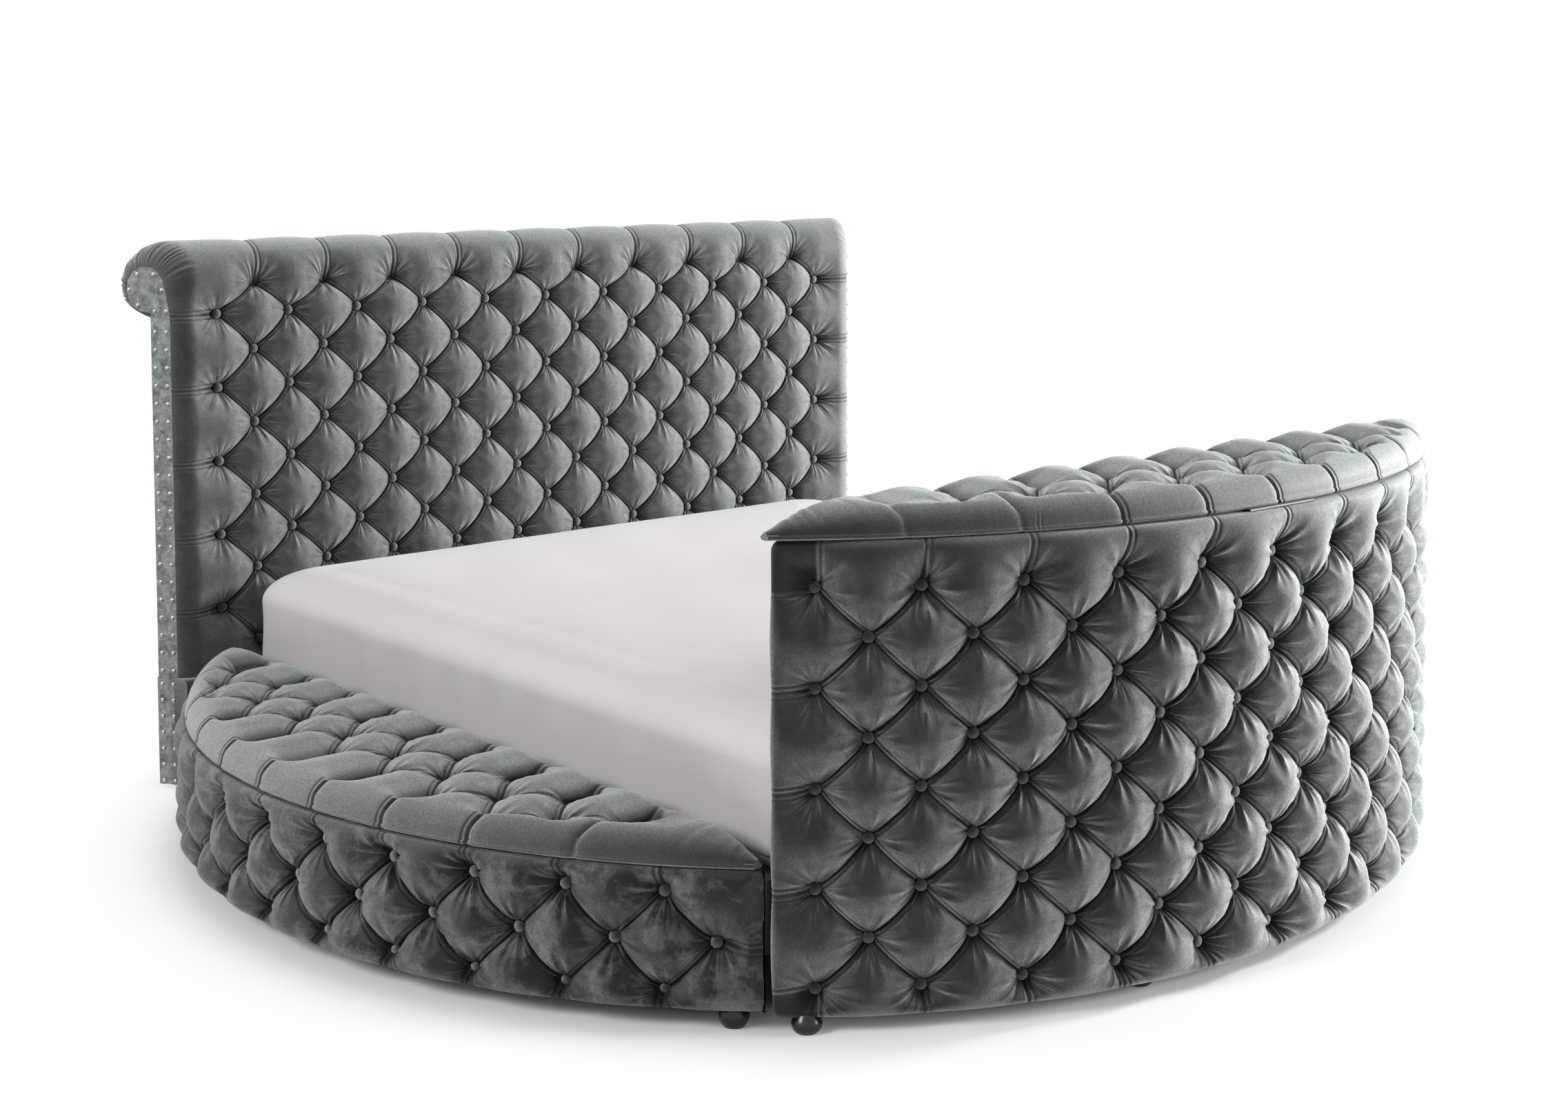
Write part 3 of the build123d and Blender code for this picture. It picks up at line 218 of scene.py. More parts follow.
def bump(tree, height, strength, distance, shader):
    """A bump from heights, linked to the normal of a shader or of another bump."""
    found = add_node(tree, "ShaderNodeBump", {
        "Strength": strength, "Distance": distance, "Height": height})
    tree.links.new(found.outputs["Normal"], shader.inputs["Normal"])
    return found


def mix(tree, share, first, second):
    """The colour between two colours."""
    found = add_node(tree, "ShaderNodeMix", {"data_type": "RGBA", 0: share, 6: first, 7: second})
    return found.outputs[2]


def new_material(name, constants):
    """A material with its tree and its shader, which has the constants on its sockets."""
    material = bpy.data.materials.new(name)
    material.use_nodes = True
    tree = material.node_tree
    tree.nodes.clear()
    shader = add_node(tree, "ShaderNodeBsdfPrincipled", constants)
    add_node(tree, "ShaderNodeOutputMaterial", {"Surface": shader})
    return material, tree, shader


def fold_marks(tree):
    """Heights of the lapped lines along the folds and of the rays, and the painted shade along the
    lines.
    """
    def vector(operation, *values):
        return maths(tree, operation, *values, kind="ShaderNodeVectorMath")

    half = (0.5, 0.5, 0.0)
    folds = add_node(tree, "ShaderNodeUVMap", {"uv_map": "folds"})
    split = add_node(tree, "ShaderNodeSeparateXYZ", {0: vector("FRACTION", vector("ADD", folds, half))})
    ramps = []
    for axis in (0, 1):
        ramp = add_node(tree, "ShaderNodeValToRGB", {"Fac": split.outputs[axis]})
        stops = ramp.color_ramp.elements
        for number, (position, height) in enumerate(ACROSS_FOLD):
            stop = stops[number] if number < 2 else stops.new(position)
            stop.position, stop.color = position, (height, height, height, 1.0)
        ramps.append(ramp)
    # No line where the cloth lies plain, whatever the map says there
    laid = add_node(tree, "ShaderNodeAttribute", {"attribute_name": "laid"})
    line = maths(tree, "SUBTRACT", maths(tree, "MINIMUM", *ramps), PLAIN)
    line = maths(tree, "MULTIPLY_ADD", line, laid.outputs["Fac"], PLAIN)
    # Painted shade along each fold line, darkest in its grooves
    shade = map_range(tree, line, 0.1, 0.75, 1.0, 0.0)
    # Rays: uneven folds, some 25 round a button, each button with its own
    rays = add_node(tree, "ShaderNodeUVMap", {"uv_map": "rays"})
    button = vector("FLOOR", vector("ADD", rays, half))
    aim = vector("NORMALIZE", vector("SUBTRACT", rays, button))
    wide = add_node(tree, "ShaderNodeVectorMath", {"operation": "SCALE", 0: aim, "Scale": RAY_SPREAD})
    own = vector("MULTIPLY", button, RAY_STEPS)
    uneven = noise(tree, 1.0, 1.5, Vector=vector("ADD", wide, own))
    gather = add_node(tree, "ShaderNodeAttribute", {"attribute_name": "gather"})
    height = maths(tree, "MULTIPLY", uneven, gather.outputs["Fac"])
    return maths(tree, "MULTIPLY_ADD", height, RAY_HEIGHT, line), shade


def velvet(name, dark, light, mottle, scale, sheen, patch_span=(0.35, 0.72), tufting=False):
    """Polyester velvet: dark looked at straight on, with a painted sheen that pales it where its short
    pile is seen edge on.
    """
    material, tree, shader = new_material(name, {
        "Roughness": 0.62, "Specular IOR Level": 0.24, "Sheen Weight": sheen, "Sheen Roughness": 0.34,
        "Sheen Tint": linear("c6cbc7")})
    # Patches of nap brushed one way or the other, as hands and folds leave them
    patches = noise(tree, scale, 8.0, Roughness=0.68, Distortion=0.4)
    brushed = map_range(tree, patches, *patch_span, 0.0, mottle)
    # Pile grain, drawn about 2 mm across so that it shows; real pile is finer
    pile = bump(tree, noise(tree, 420.0, 3.0), 0.22, 0.0012, shader)
    # Painted sheen: the colour pales where the surface is seen edge on
    edge = add_node(tree, "ShaderNodeLayerWeight", {"Blend": 0.46, "Normal": pile})
    speck = map_range(tree, noise(tree, 230.0, 4.0, Roughness=0.75), 0.3, 0.7, 0.55, 1.45)
    # Share of the light colour: painted sheen, plus the nap's brushed patches and specks
    sheen_and_nap = maths(tree, "MULTIPLY", maths(tree, "ADD", edge.outputs["Facing"], brushed), speck)
    tint = mix(tree, sheen_and_nap, linear(dark), linear(light))
    if tufting:
        height, shade = fold_marks(tree)
        bump(tree, height, 0.8, 0.0035, pile)
        # Painted shade: the cloth darkens towards the colour of shade in its hollows, along its fold
        # lines and under the buttons
        hollow = add_node(tree, "ShaderNodeAttribute", {"attribute_name": "hollow"})
        deep = maths(tree, "MULTIPLY_ADD", shade, 0.75, hollow.outputs["Fac"])
        tint = mix(tree, map_range(tree, deep, 0.0, 1.0, 0.0, 0.92), tint, linear(PAINTED_SHADE_COLOUR))
    tree.links.new(tint, shader.inputs["Base Color"])
    return material


def sheet_cotton(name, code):
    """Cotton percale: plain weave, pulled smooth over the mattress."""
    material, tree, shader = new_material(name, {"Roughness": 0.85, "Sheen Weight": 0.15})
    place = add_node(tree, "ShaderNodeTexCoord").outputs["Object"]
    # Threads drawn 1.5 mm apart; real ones are nearer 0.3 mm
    weave = add_node(tree, "ShaderNodeTexWave", {"Vector": place, "Scale": 210.0, "Distortion": 0.8})
    soft = noise(tree, 5.0, 3.0)
    bump(tree, maths(tree, "MULTIPLY_ADD", weave.outputs["Fac"], 0.12, soft), 0.22, 0.004, shader)
    tree.links.new(mix(tree, soft, linear(code), linear("cac8c6")), shader.inputs["Base Color"])
    return material


def metal(name, code, roughness, scratch):
    """Plated or plain metal with fine rubbing in its roughness."""
    material, tree, shader = new_material(name, {"Base Color": linear(code), "Metallic": 1.0})
    span = map_range(tree, noise(tree, 90.0, 5.0), 0.0, 1.0, roughness, roughness + scratch)
    tree.links.new(span.outputs[0], shader.inputs["Roughness"])
    return material


def coated(name, code, roughness, grain, depth):
    """Powder coat, moulded plastic, lacquer or plain cloth: a fine even texture."""
    material, tree, shader = new_material(name, {"Base Color": linear(code), "Roughness": roughness})
    bump(tree, noise(tree, grain, 3.0), 0.2, depth, shader)
    return material


def timber(name, dark, light, stretch, scale):
    """Sawn wood: long grain along one axis, with darker latewood lines."""
    material, tree, shader = new_material(name, {"Roughness": 0.6})
    place = add_node(tree, "ShaderNodeTexCoord").outputs["Object"]
    along = add_node(tree, "ShaderNodeMapping", {"Scale": stretch, "Vector": place})
    lines = noise(tree, scale, 6.0, Roughness=0.65, Vector=along)
    ramp = add_node(tree, "ShaderNodeValToRGB", {"Fac": lines})
    low, high = ramp.color_ramp.elements
    low.position, low.color = 0.35, linear(dark)
    high.position, high.color = 0.62, linear(light)
    tree.links.new(ramp.outputs["Color"], shader.inputs["Base Color"])
    bump(tree, lines, 0.15, 0.0008, shader)
    return material


def finish_of(key):
    """The material of a finish, made the first time it is asked for."""
    colours = bpy.context.scene.bed_colours
    made = bpy.data.materials.get(key)
    if made:
        return made
    cut = (colours.velvet, colours.velvet_light, 0.06, 9.0, 0.18)
    maker, values = {
        # Grey-green nap with a painted sheen that pales it towards every edge, on buttons and plain
        # covers
        "cut_velvet": (velvet, cut),
        # The same with its folds and rays, and painted shade in its hollows and along its fold lines
        "tufted_velvet": (velvet, (*cut, (0.35, 0.72), True)),
        # A darker copy, painted shade for the benches' less lit faces, with its nap crushed in patches
        "crushed_velvet": (velvet, (
            colours.velvet_dark, "787f7c", 0.33, 13.0, 0.12, (0.49, 0.60), True)),
        # Flat strip with a tight mottle, behind the nails
        "trim_velvet": (velvet, ("3c4242", "a4abaa", 0.8, 42.0, 0.3)),
        # Soft warm white without shine
        "cotton_percale": (sheet_cotton, (colours.sheet,)),
        # Small bright domes with a grey body
        "nail_nickel": (metal, ("a3a39d", 0.14, 0.12)),
        # Pale blue-grey, half dull
        "zinc_plate": (metal, ("b9bcbe", 0.28, 0.2)),
        # Dark hinge that shows as a thin glint
        "gunmetal": (metal, ("4a4c4d", 0.35, 0.15)),
        # Yellow nut on the spindle
        "brass_nut": (metal, ("b89650", 0.3, 0.2)),
        # Near black with a fine orange peel
        "powder_coat": (coated, ("1c1d1f", 0.45, 400.0, 0.0006)),
        # Matt black box
        "moulded_plastic": (coated, ("18191b", 0.5, 700.0, 0.0004)),
        # Glossy black, with the lamps in it
        "lacquered_foot": (coated, ("0d0d0e", 0.28, 60.0, 0.0003)),
        # Dull black lining that lets the inside stay in the dark
        "dust_cover": (coated, ("1a1b1b", 0.95, 250.0, 0.0008)),
        # Cream cloth under the sheet
        "woven_ticking": (coated, ("e4e1da", 0.9, 300.0, 0.0012)),
        # Pale tan boards with faint upright grain
        "birch_plywood": (timber, ("a98b63", "cdb48b", (1.0, 1.0, 12.0), 9.0)),
        # Yellower wood with long grain
        "pine_board": (timber, ("b08b5a", "d6b98a", (14.0, 1.2, 14.0), 4.0)),
    }[key]
    return maker(key, *values)


# Mesh helpers

def stand(name, data):
    """An object that shows the data, linked to the scene."""
    holder = bpy.data.objects.new(name, data)
    bpy.context.scene.collection.objects.link(holder)
    return holder


def lay_marks(mesh, marks):
    """Give the mesh its fold and ray maps, the painted shade of its hollows, and how gathered and laid
    its cloth is.
    """
    corners = np.empty(len(mesh.loops), np.int32)
    mesh.loops.foreach_get("vertex_index", corners)
    for name, columns in (("folds", slice(0, 2)), ("rays", slice(2, 4))):
        layer = mesh.uv_layers.new(name=name)
        layer.data.foreach_set("uv", marks[corners, columns].astype(np.float32).ravel())
    for name, column in (("hollow", 4), ("gather", 5), ("laid", 6)):
        layer = mesh.attributes.new(name, "FLOAT", "POINT")
        layer.data.foreach_set("value", marks[:, column].astype(np.float32))


def new_piece(name, points, triangles, material, soft_angle=60.0, marks=None):
    """A mesh object from arrays, smooth shaded, with its faces outwards."""
    a, b, c = (points[triangles[:, i]] for i in range(3))
    if np.einsum("ij,ij->i", a, np.cross(b, c)).sum() < 0:
        triangles = triangles[:, ::-1]
    mesh = bpy.data.meshes.new(name)
    count = len(triangles)
    mesh.vertices.add(len(points))
    mesh.vertices.foreach_set("co", np.ascontiguousarray(points, dtype=np.float32).ravel())
    mesh.loops.add(3 * count)
    mesh.loops.foreach_set("vertex_index", np.ascontiguousarray(triangles, dtype=np.int32).ravel())
    mesh.polygons.add(count)
    mesh.polygons.foreach_set("loop_start", np.arange(0, 3 * count, 3, dtype=np.int32))
    mesh.update(calc_edges=True)
    mesh.validate()
    if marks is not None:
        lay_marks(mesh, marks)
    mesh.shade_smooth()
    mesh.set_sharp_from_angle(angle=math.radians(soft_angle))
    mesh.materials.append(material)
    return stand(name, mesh)


def loop_triangles(count, around, turned=None):
    """Triangles between closed loops; turned marks the cells cut along their other diagonal."""
    index = np.arange(count * around).reshape(count, around)
    a, d = index[:-1], index[1:]
    b, c = np.roll(a, -1, axis=1), np.roll(d, -1, axis=1)
    cells = np.stack([a, b, c, a, c, d], -1)
    if turned is not None:
        cells = np.where(turned[..., None], np.stack([a, b, d, b, c, d], -1), cells)
    return cells.reshape(-1, 3)


def cap_triangles(points, first, around, flip):
    """Triangles that close the loop that starts at a vertex."""
    ring = [Vector(points[first + k]) for k in range(around)]
    found = np.array(tessellate_polygon([ring])) + first
    normal = np.zeros(3)
    for k in range(around):
        normal += np.cross(points[first + k], points[first + (k + 1) % around])
    a, b, c = (points[found[:, i]] for i in range(3))
    facing = np.einsum("ij,j->i", np.cross(b - a, c - a), normal) > 0
    return np.where((facing == flip)[:, None], found[:, ::-1], found)


def shell(name, loops, material, turned=None, soft_angle=60.0, marks=None):
    """A closed skin through closed loops, with a cap at each end."""
    count, around = loops.shape[:2]
    points = loops.reshape(-1, 3)
    triangles = np.concatenate([
        loop_triangles(count, around, turned),
        cap_triangles(points, 0, around, False),
        cap_triangles(points, (count - 1) * around, around, True),
    ])
    if marks is not None:
        marks = marks.reshape(-1, marks.shape[-1])
    return new_piece(name, points, triangles, material, soft_angle, marks)


def rounded(x):
    """A quarter circle from 0 at x = 0 to 1 at x = 1."""
    x = np.clip(x, 0.0, 1.0)
    return np.sqrt(1.0 - (1.0 - x) ** 2)


def smooth(x):
    """An even ramp from 0 to 1."""
    x = np.clip(x, 0.0, 1.0)
    return x * x * (3.0 - 2.0 * x)


def lattice_samples(low, high, before, after, spare=CELLS):
    """Samples aligned to a lattice from low to high, with closer ones out to both edges."""
    inner = np.linspace(low, high, int(round((high - low) * CELLS)) + 1)
    ease = np.sin(np.linspace(0.0, 1.0, spare + 1)[1:] * math.pi / 2)
    return np.concatenate([(low - before * ease)[::-1], inner, high + after * ease])


# Tufting: a pattern is (first and last column, rows, parity, step in metres, row in metres)

FANS = ((5, 0.6), (9, 0.6), (14, 0.4))      # folds in a fan, and their share of its height
HOLE_FLOOR = 0.009                          # radius of the flat bottom under a button
# Painted shade darkens the cloth below this share of its height
HOLLOW_HEIGHT = 0.62                        # the cloth darkens below this share of its height


def hashed(a, b, salt):
    """A repeatable number from 0 to 1 for a button."""
    value = np.sin(a * 12.9898 + b * 78.233 + salt * 37.719) * 43758.5453
    return value - np.floor(value)


def diagonals(u, v, parity):
    """A place counted along the two directions of the folds; buttons are at whole numbers."""
    return (u + v + parity) / 2, (u - v - parity) / 2


def nearest_button(u, v, pattern):
    """The button that a place belongs to, and whether the pattern has it."""
    (low, high), rows, parity = pattern[:3]
    rs, rt = (np.round(way) for way in diagonals(u, v, parity))
    bu, bv = rs + rt, rs - rt - parity
    return bu, bv, (bu >= low) & (bu <= high) & (bv >= 0) & (bv <= rows - 1)


def fan_folds(reach, turn, bu, bv, span, salt):
    """Small sharp folds that run out from a button, about -0.5 to 0.5."""
    folds = 0.0
    for number, (count, share) in enumerate(FANS):
        phase = hashed(bu, bv, salt + number) * 2 * math.pi
        weight = share * (0.25 + 1.1 * hashed(bv, bu, salt + number + 9.0))
        swirl = 0.5 * np.sin(2.0 * turn + phase)
        folds = folds + weight * (0.64 - np.abs(np.sin(count / 2 * turn + phase + swirl)))
    return folds * np.clip(reach / span, 0, None) ** 1.5 * np.exp(1.5 * (1.0 - reach / span))


def tufted(u, v, pattern, salt, fan=1.0, swell=0.35):
    """Height of a tufted cover, 0 to 1, with pleats out to its edges, and its small folds."""
    tufts = bpy.context.scene.bed_tufts
    (low, high), rows, parity, step, row = pattern
    uc, vc = np.clip(u, low, high), np.clip(v, 0, rows - 1)
    away = np.maximum(smooth(np.abs(u - uc) / 0.8), smooth(np.abs(v - vc) / 0.8))
    ds, dt = (np.abs(way - np.round(way)) for way in diagonals(uc, vc, parity))
    crest = ((1.0 - (1.0 - 2.0 * ds) ** 6) * (1.0 - (1.0 - 2.0 * dt) ** 6)) ** 0.55
    broad = (np.sin(math.pi * ds) * np.sin(math.pi * dt)) ** 0.8
    bu, bv, owned = nearest_button(uc, vc, pattern)
    x, y = (u - bu) * step, (v - bv) * row
    reach, turn = np.hypot(x, y), np.arctan2(y, x)
    lean = 1.0 + 0.12 * np.sin(turn * 2 + 6.0 * hashed(bu, bv, salt + 3.0))
    hole = np.exp(-np.maximum(reach - HOLE_FLOOR, 0.0) / (tufts.hole_reach * lean)) * owned
    # Towards the edges the folds grow shallow and the tufts flat
    dip = tufts.crease_share * (1.0 - crest) * (1.0 - 0.35 * away)
    dip = dip + tufts.bulge_share * (1.0 - broad) * (1.0 - (1.0 - swell) * away)
    dip = dip + (1.0 - tufts.crease_share - tufts.bulge_share) * hole
    window = np.clip(1.0 - (2.0 * np.maximum(ds, dt)) ** 3, 0.0, 1.0) * (1.0 - 0.6 * away)
    folds = fan * fan_folds(reach, turn, bu, bv, tufts.fan_reach, salt) * window * owned
    return 1.0 - dip, folds


def cloth_marks(u, v, pattern, height):
    """What the velvet reads at each vertex: fold map, ray map, painted shade of the hollows, gather and
    laid.
    """
    (low, high), rows, parity, step, row = pattern
    uc, vc = np.clip(u, low, high), np.clip(v, 0, rows - 1)
    bu, bv, owned = nearest_button(uc, vc, pattern)
    reach = np.hypot((u - bu) * step, (v - bv) * row)
    gather = owned * smooth((reach - 0.008) / 0.014) * (1.0 - smooth((reach - 0.026) / 0.040))
    # Painted shade of the hollows, deeper where the cloth lies lower
    hollow = np.clip((HOLLOW_HEIGHT - height) / HOLLOW_HEIGHT, 0.0, 1.0) ** 0.9
    maps = diagonals(uc, vc, parity) + diagonals(u, v, parity)
    return np.stack([*maps, hollow, gather, np.ones_like(hollow)], -1)


def turned_cells(u, v, parity):
    """Cells whose nearest fold line runs along the other diagonal."""
    um, vm = np.meshgrid((u[:-1] + u[1:]) / 2, (v[:-1] + v[1:]) / 2, indexing="ij")
    ds, dt = (np.abs(way - np.round(way)) for way in diagonals(um, vm, parity))
    return ds < dt


def lattice_seats(pattern, seat):
    """Seats of a pattern's buttons, from a function of column and row."""
    (low, high), rows, parity = pattern[:3]
    return [seat(column, row) for row in range(rows) for column in range(low, high + 1)
            if (column + row + parity) % 2 == 0]


# Repeated domes, by Geometry Nodes

def dome_tree():
    """A node tree that sets a dome on every vertex, turned along its aim."""
    tree = bpy.data.node_groups.get("domes_on_points")
    if tree:
        return tree
    tree = bpy.data.node_groups.new("domes_on_points", "GeometryNodeTree")
    for name in ("Geometry", "Radius", "Height", "Material"):
        kind = "Float" if name in ("Radius", "Height") else name
        tree.interface.new_socket(name, in_out="INPUT", socket_type=f"NodeSocket{kind}")
    tree.interface.new_socket("Geometry", in_out="OUTPUT", socket_type="NodeSocketGeometry")
    given = add_node(tree, "NodeGroupInput").outputs
    ball = add_node(tree, "GeometryNodeMeshUVSphere", {"Segments": 18, "Rings": 10, "Radius": 1.0})
    size = add_node(tree, "ShaderNodeCombineXYZ", {
        0: given["Radius"], 1: given["Radius"], 2: given["Height"]})
    dome = add_node(tree, "GeometryNodeTransform", {"Geometry": ball.outputs["Mesh"], "Scale": size})
    aim = add_node(tree, "GeometryNodeInputNamedAttribute", {"data_type": "FLOAT_VECTOR", "Name": "aim"})
    turn = add_node(tree, "FunctionNodeAlignRotationToVector", {"axis": "Z", "Vector": aim})
    spread = add_node(tree, "GeometryNodeInstanceOnPoints", {
        "Points": given["Geometry"], "Instance": dome, "Rotation": turn})
    real = add_node(tree, "GeometryNodeRealizeInstances", {"Geometry": spread})
    soft = add_node(tree, "GeometryNodeSetShadeSmooth", {"Geometry": real})
    coat = add_node(tree, "GeometryNodeSetMaterial", {"Geometry": soft, "Material": given["Material"]})
    add_node(tree, "NodeGroupOutput", {"Geometry": coat})
    return tree


def domes(name, seats, radius, height, material):
    """One mesh of all the domes on their seats."""
    mesh = bpy.data.meshes.new(name)
    mesh.from_pydata([place for place, aim in seats], [], [])
    aims = mesh.attributes.new("aim", "FLOAT_VECTOR", "POINT")
    aims.data.foreach_set("vector", [c for place, aim in seats for c in aim])
    piece = stand(name, mesh)
    tree = dome_tree()
    modifier = piece.modifiers.new("domes", "NODES")
    modifier.node_group = tree
    given = {item.name: item.identifier for item in tree.interface.items_tree if item.in_out == "INPUT"}
    modifier[given["Radius"]] = radius
    modifier[given["Height"]] = height
    modifier[given["Material"]] = material
    graph = bpy.context.evaluated_depsgraph_get()
    baked = bpy.data.meshes.new_from_object(piece.evaluated_get(graph))
    piece.modifiers.clear()
    piece.data = baked
    return piece


def settle(piece, body, slot, *nodes, fill=None):
    """Hang the piece on what it rides on and hide the nodes that it stands for; the slot is not used."""
    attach(piece, body)
    if nodes:
        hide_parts(*nodes)


def sew_buttons(name, seats, node):
    """Covered buttons on their seats, in place of a node's."""
    tufts = bpy.context.scene.bed_tufts
    buttons = domes(name, seats, tufts.button_radius, tufts.button_height, finish_of("cut_velvet"))
    settle(buttons, "bed", "velvet", node)


# Curved faces

END_SPAN = 1.0                  # columns between the last button and the end of a cover
BUTTON_OUT = 0.008              # a button's middle, out from its seat
EVEN_HEIGHT = 0.80              # height of cloth that is pulled even, as a share of the depth


def curved_cover(name, side, face, ends, levels, least_x, finish, salt):
    """The cover of a curved face: the foot section's or a bench's."""
    tufts = bpy.context.scene.bed_tufts
    columns, rows, parity, first_angle, step, top_row = face
    (low, high), (low_z, board_z, high_z) = columns, levels
    u = lattice_samples(low, high, END_SPAN, END_SPAN)
    below = (top_row - (rows - 1) * ROW - low_z) / ROW
    v = lattice_samples(0, rows - 1, (high_z - top_row) / ROW, below)
    grid_u, grid_v = np.meshgrid(u, v, indexing="ij")
    arc_step = step * (SEAT_RADIUS + tufts.face_depth / 2)
    pattern = (columns, rows, parity, arc_step, ROW)
    height, folds = tufted(grid_u, grid_v, pattern, salt)
    read = cloth_marks(grid_u, grid_v, pattern, height)
    z = top_row - grid_v * ROW
    from_end = np.minimum(grid_u - (low - END_SPAN), (high + END_SPAN) - grid_u) * arc_step
    # Top, hem and ends: distance, how even the cloth is and over what width, drop and reach of the round
    borders = (
        (high_z - z, 0.60, 0.040, 0.016, 0.018),
        (z - low_z, 0.85, 0.034, 0.014, 0.018),
        (from_end, 0.90, 0.050, 0.026, 0.030),
    )
    even = np.maximum.reduce([
        share * (1.0 - smooth(gap / width)) for gap, share, width, drop, reach in borders])
    height = height * (1.0 - even) + EVEN_HEIGHT * even
    radius = SEAT_RADIUS + tufts.face_depth * height + tufts.fan_height * folds * (1.0 - even)
    for gap, share, width, drop, reach in borders:
        radius -= drop * (1.0 - rounded(gap / reach))

    def place(column, radii, heights):
        main = first_angle + np.clip(column, low, high) * step
        start, stop = (np.arctan2(np.sqrt(radii**2 - y**2), -y) for y in ends)
        if first_angle == 0.0:          # the foot section's face runs to both sides of the middle
            start = -stop
        angle = main + np.clip(low - column, 0, 1) * (start - main)
        angle = angle + np.clip(column - high, 0, 1) * (stop - main)
        x, y = radii * np.sin(angle), -radii * np.cos(angle)
        if least_x is not None:
            x = np.maximum(x, least_x)
        return np.stack([side * x, y, heights], -1)

    inner = [(RIM_RADIUS, low_z), (RIM_RADIUS, board_z), (BACK_RADIUS, board_z), (BACK_RADIUS, high_z)]
    back = np.stack([place(u, np.full_like(u, r), np.full_like(u, h)) for r, h in inner], 1)
    loops = np.concatenate([place(grid_u, radius, z), back], 1)
    turned = np.pad(turned_cells(u, v, parity), ((0, 0), (0, 1 + len(inner))))
    read = np.pad(read, ((0, 0), (0, len(inner)), (0, 0)), "edge")
    return shell(name, loops, finish, turned, marks=read)


def face_seats(face, side):
    """Places and directions of a curved face's buttons."""
    first_angle, step, top_row = face[3:]
    radius = SEAT_RADIUS + BUTTON_OUT

    def seat(column, row):
        angle = first_angle + column * step
        aim = (side * math.sin(angle), -math.cos(angle), 0.0)
        return (aim[0] * radius, aim[1] * radius, top_row - row * ROW), aim

    return lattice_seats(face, seat)


class BED_OT_foot_face(bpy.types.Operator):
    """Tufted velvet face of the foot section, with its buttons"""

    bl_idname = "bed.foot_face"
    bl_label = "Foot face"

    def execute(self, context):
        levels = (FOOT_LOW.z - 0.017, FOOT_LOW.z + 0.0005, FOOT_HIGH.z)
        cover = curved_cover("foot_face_cover", 1, FOOT_FACE, (FOOT_HIGH.y, FOOT_HIGH.y), levels, None,
                             finish_of("tufted_velvet"), 1.0)
        settle(cover, "bed", "velvet", "foot_pad", fill=0.85)
        sew_buttons("foot_face_buttons", face_seats(FOOT_FACE, 1), "foot_buttons")
        return {"FINISHED"}


class BED_OT_bench_faces(bpy.types.Operator):
    """Tufted velvet faces of the two benches, with their buttons"""

    bl_idname = "bed.bench_faces"
    bl_label = "Bench faces"

    def execute(self, context):
        levels = (BENCH_LOW.z - 0.012, BENCH_LOW.z + 0.0035, BENCH_HIGH.z)
        for side, word in SIDES:
            cover = curved_cover(f"bench_face_cover_{word}", side, BENCH_FACE,
                                 (BENCH_LOW.y, BENCH_HIGH.y), levels, BENCH_LOW.x,
                                 finish_of("crushed_velvet"), 3.0 + side)
            settle(cover, "bed", "velvet", f"bench_pad_{word}", fill=0.85)
            sew_buttons(f"bench_face_buttons_{word}", face_seats(BENCH_FACE, side),
                        f"bench_buttons_{word}")
        return {"FINISHED"}


# Lids

LID_PATTERN = ((-8, 8), 3, 0, 0.098, 0.095)
LID_OVER = 0.052                # crest of a lid above its board
TIP_CUT, TIP_WIDTH = 0.014, 0.012           # what is cut off a tip, and the least width of a lid
LID_SIDE = 0.010                # height of the upright side where the crown starts
INNER_ROUND, OUTER_ROUND = 0.028, 0.080     # widths of the rounds along both long edges
INNER_PLEAT, OUTER_PLEAT, PINCH = 0.006, 0.011, 0.004       # how deep the pleats are
PULLED, PLEATED = 6.6, 8.6      # columns from the middle with pulled edges, and with outer pleats


def lid_width(along, half, bulge):
    """Width of a lid across its straight edge, from the arc of its outer edge."""
    radius = (half**2 + bulge**2) / (2 * bulge)
    return np.sqrt(np.maximum(radius**2 - along**2, 0.0)) - (radius - bulge)


